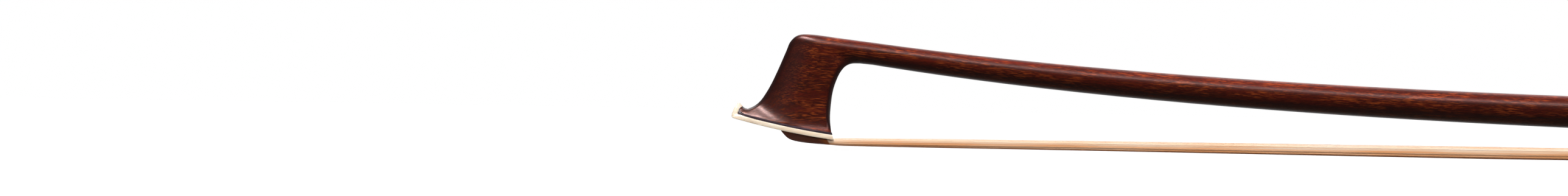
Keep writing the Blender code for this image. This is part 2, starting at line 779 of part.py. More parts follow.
def build_frog_block(finish, parent):
    frog = add_object("frog_block", sideways(frog_outline(), ferrule_half + 1 * mm), finish, parent)
    section = lengthways(frog_section(), body_front - 10 * mm, frog_length + 1 * mm)
    boolean(frog, section, "frog_section", "INTERSECT")
    crown = ferrule_half - ferrule_wall - fit_gap
    centre = ferrule_height - ferrule_half
    rise = math.degrees(math.asin((tongue_floor - centre) / crown))
    tongue = arc(0, centre, crown, rise, 180 - rise, 14)
    boolean(frog, lengthways(tongue, tongue_setback, body_front + 0.6 * mm), "tongue", "UNION")
    channel = [(y, z + axis_over_ferrule) for y, z in octagon(channel_half)]
    boolean(frog, lengthways(channel, -1 * mm, frog_length + 1 * mm), "stick_channel")
    foot = slide_half + fit_gap
    groove = [
        (-foot, -1 * mm),
        (foot, -1 * mm),
        (foot + slide_dovetail, slide_top),
        (-foot - slide_dovetail, slide_top),
    ]
    boolean(frog, lengthways(groove, body_front - 1 * mm, foot_front - glue_gap), "slide_groove")
    mortise_end = frog_mortise_start + frog_mortise_length
    frog_box("hair_channel", frog, body_front - 1 * mm, mortise_end, hair_channel_half, slide_top - 0.5 * mm, channel_top)
    frog_box("hair_mortise", frog, frog_mortise_start, mortise_end, hair_channel_half, slide_top - 0.5 * mm, slide_top + frog_mortise_depth)
    stem = upright(eyelet_stem_radius + running_gap, 16, eyelet_along, channel_floor - eyelet_stem_length - 0.5 * mm, channel_floor + 1 * mm)
    boolean(frog, stem, "eyelet_hole")
    for label, along in underslide_screws:
        hole = upright(underslide_screw_radius * 0.7 + running_gap, 12, along, channel_floor - underslide_screw_length - 0.4 * mm, channel_floor + 1 * mm)
        boolean(frog, hole, f"underslide_hole_{label}")
    for label, height in heel_pins:
        hole = turned([(heel_face - heel_pin_length - 0.3 * mm, heel_pin_radius + running_gap), (frog_length, heel_pin_radius + running_gap)], 12, height)
        boolean(frog, hole, f"heel_hole_{label}")
    for label, side in (("left", -1), ("right", 1)):
        near = side * (side_at(eye_height) - eye_depth - glue_gap)
        far = side * (frog_bottom_half + 2 * mm)
        boolean(frog, crossways(eye_radius + glue_gap, 24, eye_along, eye_height, near, far), f"eye_seat_{label}")
        rings = []
        for radius, y in (
            (eye_ring_radius + glue_gap, near),
            (eye_ring_radius + glue_gap, far),
            (eye_ring_radius - eye_ring_width - glue_gap, far),
            (eye_ring_radius - eye_ring_width - glue_gap, near),
        ):
            rings.append([(eye_along + x, y, eye_height + z) for x, z in circle(radius, 24)])
        boolean(frog, loft(rings, endless=True), f"ring_seat_{label}")


underslide_screws = (("front", body_front + 4.2 * mm), ("rear", frog_length - 6.5 * mm))
heel_pins = (("lower", frog_rise * 0.36), ("upper", frog_rise * 0.72))


def side_at(height):
    """Half the frog's width at a height over the ferrule's flat."""
    section = frog_section()[: len(frog_section()) // 2]
    for (y0, z0), (y1, z1) in zip(section, section[1:]):
        if z0 <= height <= z1:
            return y0 + (y1 - y0) * (height - z0) / (z1 - z0)
    return frog_top_half


def build_ferrule(finish, parent):
    outer = d_section(ferrule_half, 0, ferrule_height, ferrule_corner)
    inner = d_section(
        ferrule_half - ferrule_wall,
        ferrule_wall,
        ferrule_height - ferrule_wall,
        ferrule_corner - ferrule_wall * 0.7,
    )
    add_object("ferrule", pierced(outer, inner, 0, ferrule_length), finish, parent)


def build_frog_hair(finish, thread, wedge_finish, plug_finish, parent):
    """The hair behind the ferrule's mouth: under the wedge, over the plug, and up to its knot."""
    low = ferrule_wall + fit_gap
    high = low + 1.25 * mm
    bend = tongue_setback + wedge_length
    channel_low = slide_top + fit_gap / 2
    channel_high = channel_low + hair_channel_depth - 0.2 * mm
    rear = frog_mortise_start + frog_mortise_length - 0.3 * mm
    ceiling = slide_top + frog_mortise_depth - 0.5 * mm
    wide = ferrule_half - ferrule_wall - 0.7 * mm
    narrow = hair_channel_half - 0.3 * mm
    knot_half = hair_channel_half - 0.6 * mm
    knot_low = ceiling - 2.0 * mm
    stations = [
        ((tongue_setback + 1.3 * mm, low), (tongue_setback + 1.3 * mm, high), wide),
        ((bend + 0.2 * mm, low), (bend - 0.1 * mm, high), wide),
        ((body_front - 0.4 * mm, channel_low), (body_front - 0.9 * mm, channel_high), narrow),
        ((rear - 1.3 * mm, channel_low), (rear - 1.4 * mm, channel_high), narrow),
        ((rear, channel_low), (rear - 1.3 * mm, channel_high), narrow),
        ((rear, channel_high + 0.6 * mm), (rear - 1.3 * mm, channel_high + 0.6 * mm), knot_half),
        ((rear, knot_low), (rear - 1.3 * mm, knot_low), knot_half),
        ((rear, ceiling), (rear - 1.3 * mm, knot_low + 0.1 * mm), knot_half),
        ((rear - 1.3 * mm, ceiling), (rear - 1.6 * mm, knot_low + 0.1 * mm), knot_half),
        ((rear - 4.2 * mm, ceiling), (rear - 4.2 * mm, knot_low + 0.1 * mm), knot_half),
    ]
    add_object("frog_hair", loft(strip_rings(stations)), finish, parent)
    bound = 0.25 * mm
    sizes = []
    for grow in (running_gap + bound, running_gap):
        half = knot_half + grow
        sizes.append([(-half, knot_low + 0.1 * mm - grow), (half, knot_low + 0.1 * mm - grow), (half, ceiling + grow), (-half, ceiling + grow)])
    shape = pierced(sizes[0], sizes[1], rear - 3.4 * mm, rear - 2.2 * mm)
    add_object("frog_knot_thread", shape, thread, parent)
    top = tongue_floor - fit_gap
    wedge_low = top - wedge_thickness
    outline = [
        (tongue_setback, wedge_low),
        (tongue_setback + wedge_length - 0.6 * mm, wedge_low),
        (tongue_setback + wedge_length, top),
        (tongue_setback, top),
    ]
    add_object("spread_wedge", sideways(outline, wide), wedge_finish, parent)
    start = frog_mortise_start + fit_gap
    plug_top = knot_low - bound - 2 * running_gap
    end = rear - 1.3 * mm - fit_gap
    foot = channel_high + fit_gap
    front_end = rear - 4.2 * mm - fit_gap
    outline = [(start, foot), (end, foot), (end, plug_top), (front_end, plug_top), (front_end, ceiling), (start, ceiling)]
    add_object("frog_plug", sideways(outline, hair_channel_half - fit_gap), plug_finish, parent)


def build_slide(pearl, ebony, parent):
    start = body_front + running_gap
    end = foot_front - 2 * fit_gap

    def half_at(height):
        return slide_half + slide_dovetail * height / slide_top

    layers = (
        ("slide_pearl", pearl, frog_recess, frog_recess + pearl_thickness),
        ("slide_back", ebony, frog_recess + pearl_thickness + glue_gap, slide_top - running_gap + glue_gap),
    )
    for name, finish, low, high in layers:
        section = [
            (-half_at(low), low),
            (half_at(low), low),
            (half_at(high), high),
            (-half_at(high), high),
        ]
        add_object(name, lengthways(section, start, end), finish, parent)


def build_heel(silver, parent):
    low = frog_recess
    high = low + heel_plate_thickness
    outline = [
        (foot_front, low),
        (frog_length, low),
        (frog_length, frog_top_height + 1 * mm),
        (frog_length - heel_plate_thickness, frog_top_height + 1 * mm),
        (frog_length - heel_plate_thickness, high),
        (foot_front, high),
    ]
    plate = add_object("heel_plate", sideways(outline, ferrule_half + 1 * mm), silver, parent)
    section = lengthways(frog_section(), foot_front - 5 * mm, frog_length + 5 * mm)
    boolean(plate, section, "heel_section", "INTERSECT")
    channel = [(y, z + axis_over_ferrule) for y, z in octagon(channel_half)]
    boolean(plate, lengthways(channel, foot_front, frog_length + 1 * mm), "heel_channel")
    for label, height in heel_pins:
        reach = (heel_face - 1 * mm, frog_length + 1 * mm)
        hole = turned([(x, heel_pin_radius + running_gap) for x in reach], 12, height)
        boolean(plate, hole, f"heel_plate_hole_{label}")
        pin = turned([(heel_face - heel_pin_length, heel_pin_radius), (frog_length, heel_pin_radius)], 12, height)
        add_object(f"heel_pin_{label}", pin, silver, parent)


def build_underslide(silver, steel, parent):
    inner = butt_thickness / 2 + slide_gap
    outer = inner + underslide_thickness
    top = frog_top_height - axis_over_ferrule - 0.2 * mm

    def facet(half):
        return [(half * octagon_corner, -half), (half * octagon_corner + top + half, top)]

    wing = [*facet(outer), *reversed(facet(inner))]
    section = wing + [(-y, z) for y, z in reversed(wing)]
    section = [(y, z + axis_over_ferrule) for y, z in section]
    start = throat_along_frog + 0.6 * mm
    end = heel_face - 0.4 * mm
    slide = add_object("underslide", lengthways(section, start, end), silver, parent)
    stem = upright(eyelet_stem_radius + running_gap, 16, eyelet_along, channel_floor - 1 * mm, channel_floor + 2 * mm)
    boolean(slide, stem, "underslide_eyelet_hole")
    for label, along in underslide_screws:
        radius = underslide_screw_radius
        hole = upright(radius + running_gap, 12, along, channel_floor - 1 * mm, channel_floor + 2 * mm)
        boolean(slide, hole, f"underslide_screw_hole_{label}")
        top_face = channel_floor + glue_gap + underslide_thickness
        profile = (
            (channel_floor - underslide_screw_length, radius * 0.7),
            (channel_floor + glue_gap / 2, radius * 0.7),
            (channel_floor + glue_gap / 2, radius),
            (top_face, radius),
        )
        rings = [[(along + x, y, z) for x, y in circle(r, 12)] for z, r in profile]
        add_object(f"underslide_screw_{label}", loft(rings), steel, parent)


def build_eyes(pearl, silver, parent):
    for label, side in (("left", -1), ("right", 1)):
        surface = side_at(eye_height)
        near = side * (surface - eye_depth)
        far = side * (surface + 0.05 * mm)
        add_object(f"pearl_eye_{label}", crossways(eye_radius, 24, eye_along, eye_height, near, far), pearl, parent)
        radii = (eye_ring_radius, eye_ring_radius - eye_ring_width)
        rings = []
        for radius, y in ((radii[0], near), (radii[0], far), (radii[1], far), (radii[1], near)):
            rings.append([(eye_along + x, y, eye_height + z) for x, z in circle(radius, 24)])
        add_object(f"eye_ring_{label}", loft(rings, endless=True), silver, parent)


def build_eyelet(brass, parent):
    """The nut on the screw, with a stem down into the frog."""
    low = axis_over_ferrule - butt_thickness / 2 + 0.4 * mm
    high = axis_over_ferrule + eyelet_crown
    front = eyelet_along - eyelet_length / 2
    rear = eyelet_along + eyelet_length / 2
    cut = 1.1 * mm
    outline = [
        (front, low),
        (rear, low),
        (rear, high - cut),
        (rear - cut, high),
        (front + cut, high),
        (front, high - cut),
    ]
    eyelet = add_object("eyelet", sideways(outline, eyelet_half), brass, parent)
    stem = upright(eyelet_stem_radius, 16, eyelet_along, channel_floor - eyelet_stem_length, low + 0.8 * mm)
    boolean(eyelet, stem, "eyelet_stem", "UNION")
    hole = turned([(front - 1 * mm, screw_radius + running_gap), (rear + 1 * mm, screw_radius + running_gap)], 20, axis_over_ferrule)
    boolean(eyelet, hole, "eyelet_thread")


def build_screw(steel, parent):
    core_end = button_length - 0.7 * mm
    profile = [
        (-screw_reach, screw_nose_radius * 0.6),
        (-screw_reach + 0.6 * mm, screw_nose_radius),
        (-screw_reach + screw_nose_length, screw_nose_radius),
        (-screw_reach + screw_nose_length, screw_radius),
        (screw_tang, screw_radius),
    ]
    add_object("screw_shaft", turned(profile), steel, parent)
    return core_end


def build_button(ebony, silver, pearl, parent):
    half = butt_thickness / 2
    neck = half - collar_wall + 0.05 * mm
    collar_out = half + 0.1 * mm
    collar_in = neck + glue_gap
    front = loose_gap
    core_start = nipple_length + loose_gap
    belt_start = front + collar_length + glue_gap
    belt_end = belt_start + button_belt
    core_end = button_length - button_pearl_thickness
    profile = [
        (core_start, neck),
        (belt_start, neck),
        (belt_start, half),
        (belt_end, half),
        (belt_end, neck),
        (core_end, neck),
    ]
    rings = [[(x, y, z) for y, z in octagon(r)] for x, r in profile]
    core = add_object("button_core", loft(rings), ebony, parent)
    bore = turned([(core_start - 1 * mm, screw_radius + glue_gap), (screw_tang + 0.3 * mm, screw_radius + glue_gap)])
    boolean(core, bore, "tang_bore")
    spans = (
        ("button_collar_front", front, front + collar_length),
        ("button_collar_rear", belt_end + glue_gap, button_length),
    )
    for name, start, end in spans:
        add_object(name, pierced(octagon(collar_out), octagon(collar_in), start, end), silver, parent)
    dome = [
        (core_end + glue_gap, button_pearl_radius),
        (core_end + button_pearl_thickness * 0.7, button_pearl_radius),
        (core_end + button_pearl_thickness * 0.95, button_pearl_radius * 0.8),
        (core_end + button_pearl_thickness * 1.1, button_pearl_radius * 0.3),
    ]
    add_object("button_pearl", turned(dome, 24), pearl, parent)


def stand_on_base(tip, handle):
    """Moves both frames so that the origin is under the bow's middle, at its lowest point."""
    bpy.context.view_layer.update()
    corners = [
        thing.matrix_world @ vertex.co
        for thing in bpy.data.objects
        if thing.type == "MESH" and not thing.hide_render and not thing.name.startswith("frog_block")
        for vertex in thing.data.vertices
        if thing.name != "heel_plate"
    ]
    low = min(corner.z for corner in corners)
    middle = (min(c.x for c in corners) + max(c.x for c in corners)) / 2
    tip.location -= Vector((middle, 0, low))
    handle.location -= Vector((middle, 0, low))


def main():
    clear_scene()
    pernambuco = material("pernambuco", (0.16, 0.035, 0.018), 0.25)
    ebony = material("ebony", (0.012, 0.011, 0.012), 0.35)
    bone = material("bone", (0.88, 0.80, 0.66), 0.4)
    maple = material("maple", (0.62, 0.45, 0.26), 0.6)
    hair = material("horsehair", (0.72, 0.50, 0.30), 0.5)
    silver = material("silver", (0.78, 0.77, 0.74), 0.25, 1.0)
    steel = material("steel", (0.45, 0.45, 0.46), 0.3, 1.0)
    brass = material("brass", (0.72, 0.52, 0.22), 0.35, 1.0)
    pearl = material("pearl", (0.80, 0.80, 0.76), 0.15)
    leather = material("leather", (0.05, 0.025, 0.018), 0.6)
    dark_strip = material("dark_lapping", (0.02, 0.017, 0.015), 0.3)
    light_strip = material("light_lapping", (0.70, 0.55, 0.33), 0.35)
    thread = material("thread", (0.75, 0.70, 0.60), 0.7)

    tip = frame("tip_frame")
    handle = frame("handle_frame")
    height, slope = stick_axis(stick_length)
    handle.location = (stick_length, 0, height)
    handle.rotation_euler = (0, -handle_angle, 0)
    frog = frame("frog_frame", handle)
    frog.location = (frog_front, 0, -axis_over_ferrule)

    stick = build_stick(pernambuco, tip)
    cut_handle(stick, handle)
    build_tip_plate(bone, tip)
    build_tip_liner(ebony, tip)
    plug_start = build_tip_hair(hair, thread, tip)
    build_tip_plug(maple, tip, plug_start)
    build_hair(hair, tip)
    build_grip(leather, dark_strip, light_strip, tip)
    build_frog_block(ebony, frog)
    build_ferrule(silver, frog)
    build_frog_hair(hair, thread, maple, maple, frog)
    build_slide(pearl, ebony, frog)
    build_heel(silver, frog)
    build_underslide(silver, steel, frog)
    build_eyes(pearl, silver, frog)
    build_eyelet(brass, frog)
    build_screw(steel, handle)
    build_button(ebony, silver, pearl, handle)
    stand_on_base(tip, handle)


main()
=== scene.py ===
# A violin bow lying along X on a white studio floor, photographed square from the side of its head.
import json
import math
import random

import bmesh
import bpy
from mathutils import Matrix, Vector


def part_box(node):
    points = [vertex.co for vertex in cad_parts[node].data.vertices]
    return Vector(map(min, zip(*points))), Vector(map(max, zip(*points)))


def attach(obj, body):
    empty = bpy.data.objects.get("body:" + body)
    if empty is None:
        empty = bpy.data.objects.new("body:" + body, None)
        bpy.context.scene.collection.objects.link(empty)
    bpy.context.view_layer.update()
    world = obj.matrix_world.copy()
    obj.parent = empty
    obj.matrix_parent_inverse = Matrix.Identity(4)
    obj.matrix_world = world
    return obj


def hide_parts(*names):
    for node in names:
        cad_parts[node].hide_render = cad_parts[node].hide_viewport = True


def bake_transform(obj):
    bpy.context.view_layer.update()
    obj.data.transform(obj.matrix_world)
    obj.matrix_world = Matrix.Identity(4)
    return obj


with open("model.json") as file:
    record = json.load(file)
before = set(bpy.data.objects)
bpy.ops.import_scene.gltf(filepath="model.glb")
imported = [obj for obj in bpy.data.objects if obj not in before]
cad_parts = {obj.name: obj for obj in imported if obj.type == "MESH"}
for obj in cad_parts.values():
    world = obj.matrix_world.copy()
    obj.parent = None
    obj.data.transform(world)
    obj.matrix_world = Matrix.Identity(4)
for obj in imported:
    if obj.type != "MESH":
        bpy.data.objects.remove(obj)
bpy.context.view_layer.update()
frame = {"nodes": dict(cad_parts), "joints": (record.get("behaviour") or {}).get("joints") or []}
mm = 0.001
screwJoint = next(joint for joint in frame["joints"] if joint["name"] == "screw_turn")
print("frame loaded")


def hexColour(code):
    channels = [int(code[i:i + 2], 16) / 255 for i in (1, 3, 5)]
    return [c / 12.92 if c <= 0.04045 else ((c + 0.055) / 1.055) ** 2.4 for c in channels] + [1.0]


def addNode(tree, kind, links=None, stops=None, **settings):
    # one node with its settings; links gives each input a value or another node's output
    made = tree.nodes.new(kind)
    for name, value in settings.items():
        setattr(made, name, value)
    for place, (position, code) in enumerate(stops or []):
        elements = made.color_ramp.elements
        element = elements[place] if place < 2 else elements.new(position)
        element.position = position
        element.color = hexColour(code)
    for socket, source in (links or {}).items():
        if isinstance(source, bpy.types.NodeSocket):
            tree.links.new(source, made.inputs[socket])
        else:
            made.inputs[socket].default_value = source
    return made


def newMaterial(name, roughness, metallic=0.0, ior=1.5):
    made = bpy.data.materials.new(name)
    made.use_nodes = True
    shader = made.node_tree.nodes["Principled BSDF"]
    shader.inputs["Roughness"].default_value = roughness
    shader.inputs["Metallic"].default_value = metallic
    shader.inputs["IOR"].default_value = ior
    return made, made.node_tree, shader


def grainPattern(tree, vector, perMetre, detail=2.0, roughness=0.5, distortion=0.0):
    # noise stretched by features per metre along X, Y and Z
    mapped = addNode(tree, "ShaderNodeMapping", {"Vector": vector, "Scale": perMetre})
    noise = addNode(tree, "ShaderNodeTexNoise", {
        "Vector": mapped.outputs["Vector"], "Scale": 1.0, "Detail": detail,
        "Roughness": roughness, "Distortion": distortion,
    })
    return noise.outputs["Fac"]


def addBump(tree, shader, height, strength, distance):
    bump = addNode(tree, "ShaderNodeBump", {"Height": height, "Strength": strength, "Distance": distance})
    tree.links.new(bump.outputs["Normal"], shader.inputs["Normal"])


# Pernambuco, scraped and French-polished: dark red-brown with short orange figure under a thin gloss
pernambucoLook = {
    "dark": "#1c0300",
    "body": "#300702",
    "red": "#480f04",
    "figure": "#8a3f1a",
    "endGrain": "#1c0504",
    "paintedTopLight": (2.5, 2.05, 2.5, 1.0),  # painted light: the top is lightened as if lit from above
    "paintedUnderShade": (0.18, 0.16, 0.14, 1.0),  # painted shade: the underside is darkened
    "paintedTopLightFrom": (11 * mm, 16 * mm),  # ahead of this, the flare over the liner gets no painted top light
    "sheenTint": "#ffcec7",  # light off the polished fibres comes back pink
    "sheen": 0.07,
    "roughness": (0.38, 0.24),  # between the dashes and on them
    "waveShare": 1.8,
    "relief": (0.22, 0.1 * mm),  # strength and depth
    # features per metre along X, Y and Z, then detail, roughness and distortion
    "dash": ((450, 4300, 4300), 2.0, 0.55, 0.25),  # about 2.2 mm long and 0.23 mm thick
    "fine": ((1000, 9000, 9000), 2.0, 0.5, 0.1),  # finer flecks between them
    "patch": ((80, 420, 420), 2.0, 0.5, 0.6),  # the dashes gather in patches about 12 mm long
    "streak": ((26, 900, 900), 3.0, 0.6, 0.2),  # long dark growth lines
    "wave": ((150, 500, 500), 1.0, 0.5, 0.3),  # the scraper's waves break up the highlight
}


def makePernambuco():
    look = pernambucoLook
    made, tree, shader = newMaterial("pernambuco_french_polish", 0.25)
    grain = addNode(tree, "ShaderNodeAttribute", attribute_name="grain").outputs["Vector"]
    dash, fine, patch, streak, wave = [
        grainPattern(tree, grain, *look[name]) for name in ("dash", "fine", "patch", "streak", "wave")
    ]
    tone = addNode(tree, "ShaderNodeMath", {0: streak, 1: fine}, operation="ADD")
    tone = addNode(tree, "ShaderNodeMath", {0: tone.outputs["Value"], 1: 0.5}, operation="MULTIPLY")
    ground = addNode(tree, "ShaderNodeValToRGB", {"Fac": tone.outputs["Value"]}, [
        (0.36, look["dark"]), (0.5, look["body"]), (0.62, look["red"]),
    ])
    facing = addNode(tree, "ShaderNodeSeparateXYZ", {
        "Vector": addNode(tree, "ShaderNodeTexCoord").outputs["Normal"],
    })
    endOn = addNode(tree, "ShaderNodeMath", {0: facing.outputs["X"]}, operation="ABSOLUTE")
    along = addNode(tree, "ShaderNodeSeparateXYZ", {"Vector": grain}).outputs["X"]
    masks = {}
    for name, value, (low, high), (least, most) in (
        ("dash", dash, (0.48, 0.7), (0.0, 1.0)),
        ("patch", patch, (0.38, 0.62), (0.1, 0.86)),
        ("side", endOn.outputs["Value"], (0.15, 0.6), (1.0, 0.0)),
        # upper and under mask the painted top light and the painted shade underneath
        ("upper", facing.outputs["Z"], (0.3, 0.75), (0.0, 1.0)),
        ("under", facing.outputs["Z"], (-0.5, 0.08), (1.0, 0.0)),
        ("behindFlare", along, look["paintedTopLightFrom"], (0.0, 1.0)),
        ("roughness", dash, (0.3, 0.7), look["roughness"]),
    ):
        masks[name] = addNode(tree, "ShaderNodeMapRange", {
            "Value": value, "From Min": low, "From Max": high, "To Min": least, "To Max": most,
        }).outputs["Result"]
    # a dash shows in its patch and off the end grain; painted light lightens the top behind the flare, and
    # painted shade darkens the underside
    figured, paintedTopLightMask = [
        addNode(tree, "ShaderNodeMath", {0: masks[one], 1: masks[two]}, operation="MULTIPLY").outputs["Value"]
        for one, two in (("dash", "patch"), ("upper", "behindFlare"))
    ]
    figured = addNode(tree, "ShaderNodeMath", {0: figured, 1: masks["side"]}, operation="MULTIPLY")
    colour = ground.outputs["Color"]
    for factor, laid, blend in (
        (figured.outputs["Value"], hexColour(look["figure"]), "MIX"),
        # painted light: lighter where the surface faces up, behind the flare
        (paintedTopLightMask, look["paintedTopLight"], "MULTIPLY"),
        # painted shade: darker where the surface faces down
        (masks["under"], look["paintedUnderShade"], "MULTIPLY"),
    ):
        colour = addNode(tree, "ShaderNodeMix", {
            "Factor": factor, 6: colour, 7: laid,
        }, data_type="RGBA", blend_type=blend).outputs[2]
    final = addNode(tree, "ShaderNodeMix", {
        "Factor": masks["side"], 6: hexColour(look["endGrain"]), 7: colour,
    }, data_type="RGBA")
    tree.links.new(final.outputs[2], shader.inputs["Base Color"])
    tree.links.new(masks["roughness"], shader.inputs["Roughness"])
    shader.inputs["Specular IOR Level"].default_value = look["sheen"]
    shader.inputs["Specular Tint"].default_value = hexColour(look["sheenTint"])
    relief = addNode(tree, "ShaderNodeMath", {
        0: wave, 1: look["waveShare"], 2: dash,
    }, operation="MULTIPLY_ADD")
    addBump(tree, shader, relief.outputs["Value"], *look["relief"])
    return made


turnedMetal = {"metallic": 1.0, "pattern": ((4000, 200, 200), 2.0)}  # faint rings across the length
cutWood = {"roughness": 0.65, "pattern": ((120, 1600, 1600), 3.0, 0.6), "relief": (0.25, 0.08 * mm)}
hornStrip = {"roughness": 0.28, "pattern": ((2600, 300, 300), 2.0), "relief": (0.1, 0.05 * mm)}
finishes = {
    # a pattern has its features per metre, detail, roughness and distortion; a relief its strength and depth
    # nearly black with faint brown lines and fine pores
    "ebony_oiled": {
        "roughness": 0.3,
        "pattern": ((60, 900, 900), 3.0, 0.6),
        "colours": [(0.4, "#120f0f"), (0.62, "#1d1716"), (0.8, "#33241d")],
        "surface": ((700, 6000, 6000), 2.0),
        "roughRange": (0.2, 0.42),
        "relief": (0.12, 0.05 * mm),
        "sockets": {"Specular IOR Level": 0.3},
    },
    # rubbed down with the head; its flat violet-grey colour is a painted sheen on black ebony
    "ebony_liner_painted_sheen": {
        "roughness": 0.45,
        "pattern": ((200, 2400, 2400), 2.0),
        "colours": [(0.35, "#2b1c24"), (0.65, "#4a3842")],
        "sockets": {"Specular IOR Level": 0.1},
    },
    # bleached, filed and polished: warm white with long faint canals
    "bone_polished": {
        "roughness": 0.35,
        "ior": 1.54,
        "pattern": ((120, 1500, 1500), 3.0, 0.6),
        "colours": [(0.3, "#e3c9a9"), (0.5, "#eed8bd"), (0.72, "#f6e7d2")],
        "relief": (0.05, 0.05 * mm),
        "sockets": {
            "Subsurface Weight": 0.25,
            "Subsurface Radius": (1.2 * mm, 0.8 * mm, 0.5 * mm),
            "Coat Weight": 0.3,
            "Coat Roughness": 0.1,
        },
    },
    # sheet silver, hand-polished: fine wipe marks
    "silver_polished": {
        "roughness": 0.18,
        "metallic": 1.0,
        "pattern": ((300, 5000, 5000), 3.0),
        "colour": "#e9e6df",
        "roughRange": (0.12, 0.32),
    },
    "steel_turned": {**turnedMetal, "roughness": 0.25, "colour": "#9a9a9c", "roughRange": (0.25, 0.42)},
    "brass_turned": {**turnedMetal, "roughness": 0.28, "colour": "#c79f53", "roughRange": (0.28, 0.45)},
    # polished shell: pale layers that drift from green to rose
    "mother_of_pearl": {
        "roughness": 0.16,
        "ior": 1.6,
        "pattern": ((150, 260, 260), 4.0, 0.6, 2.2),
        "colours": [
            (0.3, "#b9c9c4"), (0.45, "#e6e4da"), (0.55, "#d9c3c6"), (0.66, "#eef0ea"), (0.8, "#a9c4c9"),
        ],
        "sockets": {"Coat Weight": 0.8, "Coat Roughness": 0.05, "Thin Film Thickness": 380.0},
    },
    # vegetable-tanned, pared thin and polished by the thumb: pebbled, dark brown
    "goatskin_pared": {
        "roughness": 0.55,
        "pattern": ((160, 160, 160), 3.0),
        "colours": [(0.35, "#1f110c"), (0.6, "#3a2118"), (0.8, "#543226")],
        "roughRange": (0.65, 0.4),
        "pebblesPerMetre": 1400.0,
        "pebbleRelief": (0.5, 0.12 * mm),
        "sockets": {"Specular IOR Level": 0.3},
    },
    # horn-like plastic strip with lengthwise fibres
    "whalebone_imitation_dark": {**hornStrip, "colours": [(0.35, "#14100e"), (0.65, "#2a211b")]},
    "whalebone_imitation_pale": {**hornStrip, "colours": [(0.35, "#b9935c"), (0.65, "#dcc08c")]},
    # left raw from the knife, and waxed thread: dull, with a coarse grain
    "maple_raw": {**cutWood, "colours": [(0.35, "#b98c58"), (0.65, "#d8b07c")]},
    "linen_thread": {**cutWood, "colours": [(0.35, "#cdbf9f"), (0.65, "#e2d8c0")]},
}


def makeFinish(name):
    # one pattern gives the colour, and the same or a finer one the roughness and the relief
    look = finishes[name]
    made, tree, shader = newMaterial(name, look["roughness"], look.get("metallic", 0.0), look.get("ior", 1.5))
    for socket, value in look.get("sockets", {}).items():
        shader.inputs[socket].default_value = value
    place = addNode(tree, "ShaderNodeTexCoord").outputs["Object"]
    pattern = grainPattern(tree, place, *look["pattern"])
    surface = grainPattern(tree, place, *look["surface"]) if "surface" in look else pattern
    if "colours" in look:
        ramp = addNode(tree, "ShaderNodeValToRGB", {"Fac": pattern}, look["colours"])
        tree.links.new(ramp.outputs["Color"], shader.inputs["Base Color"])
    else:
        shader.inputs["Base Color"].default_value = hexColour(look["colour"])
    if "roughRange" in look:
        low, high = look["roughRange"]
        rough = addNode(tree, "ShaderNodeMapRange", {"Value": surface, "To Min": low, "To Max": high})
        tree.links.new(rough.outputs["Result"], shader.inputs["Roughness"])
    if "relief" in look:
        addBump(tree, shader, surface, *look["relief"])
    if "pebblesPerMetre" in look:
        pebble = addNode(tree, "ShaderNodeTexVoronoi", {
            "Vector": place, "Scale": look["pebblesPerMetre"],
        }, feature="SMOOTH_F1")
        addBump(tree, shader, pebble.outputs["Distance"], *look["pebbleRelief"])
    return made


# Horsehair, unbleached: straw to tan hairs, paler towards the top by painted light; near the head's mortise
# they are painted dark brown, rosin stain plus the plate's painted shadow
hairLook = {
    # the colours run by tone, which is partly random and partly painted light: crest and pale on top, tan and
    # brown below
    "crest": "#e6d5c8",
    "pale": "#e9c8a9",
    "tan": "#dfa06d",
    "brown": "#d28752",
    "shadowAndStain": "#542714",
    "shadowAndStainEdge": "#8a4a22",
    "shadowAndStainEnd": 24.2 * mm,  # where the plate's painted shadow ends, from the nose, on a line that leans with the height
    "shadowAndStainLean": 0.6,
    "shadowAndStainFade": 2.2 * mm,
    "shadowAndStainEdgeWidth": 0.35 * mm,
    "sheen": 0.12,
}


def makeHair(shadowAndStain):
    look = hairLook
    made, tree, shader = newMaterial("horsehair_unbleached", 0.42)
    # a hair's tone is partly random and partly painted light, paler towards the ribbon's top
    tone = addNode(tree, "ShaderNodeAttribute", attribute_name="tone").outputs["Fac"]
    place = addNode(tree, "ShaderNodeTexCoord").outputs["Object"]
    along = grainPattern(tree, place, (30, 1200, 1200), 2.0)
    mixed = addNode(tree, "ShaderNodeMath", {0: tone, 1: along}, operation="ADD")
    mean = addNode(tree, "ShaderNodeMath", {0: mixed.outputs["Value"], 1: 0.5}, operation="MULTIPLY")
    ramp = addNode(tree, "ShaderNodeValToRGB", {"Fac": mean.outputs["Value"]}, [
        (0.25, look["brown"]), (0.4, look["tan"]), (0.56, look["pale"]), (0.69, look["crest"]),
    ])
    colour = ramp.outputs["Color"]
    # painted shadow of the plate plus rosin stain: the hair under the plate is dark brown, with a sharp edge
    # where the shadow ends
    if shadowAndStain:
        axes = addNode(tree, "ShaderNodeSeparateXYZ", {"Vector": place})
        ahead = addNode(tree, "ShaderNodeMath", {
            0: axes.outputs["Z"], 1: look["shadowAndStainLean"], 2: axes.outputs["X"],
        }, operation="MULTIPLY_ADD").outputs["Value"]
        edge = noseX + look["shadowAndStainEnd"]
        fade = addNode(tree, "ShaderNodeMapRange", {
            "Value": ahead, "From Min": edge - look["shadowAndStainFade"], "From Max": edge,
        })
        shadowAndStainMix = addNode(tree, "ShaderNodeMix", {
            "Factor": fade.outputs["Result"], 6: hexColour(look["shadowAndStain"]), 7: hexColour(look["shadowAndStainEdge"]),
        }, data_type="RGBA")
        pastShadowAndStain = addNode(tree, "ShaderNodeMapRange", {
            "Value": ahead, "From Min": edge, "From Max": edge + look["shadowAndStainEdgeWidth"],
        })
        colour = addNode(tree, "ShaderNodeMix", {
            "Factor": pastShadowAndStain.outputs["Result"], 6: shadowAndStainMix.outputs[2], 7: colour,
        }, data_type="RGBA").outputs[2]
    tree.links.new(colour, shader.inputs["Base Color"])
    shader.inputs["Specular IOR Level"].default_value = look["sheen"]
    return made


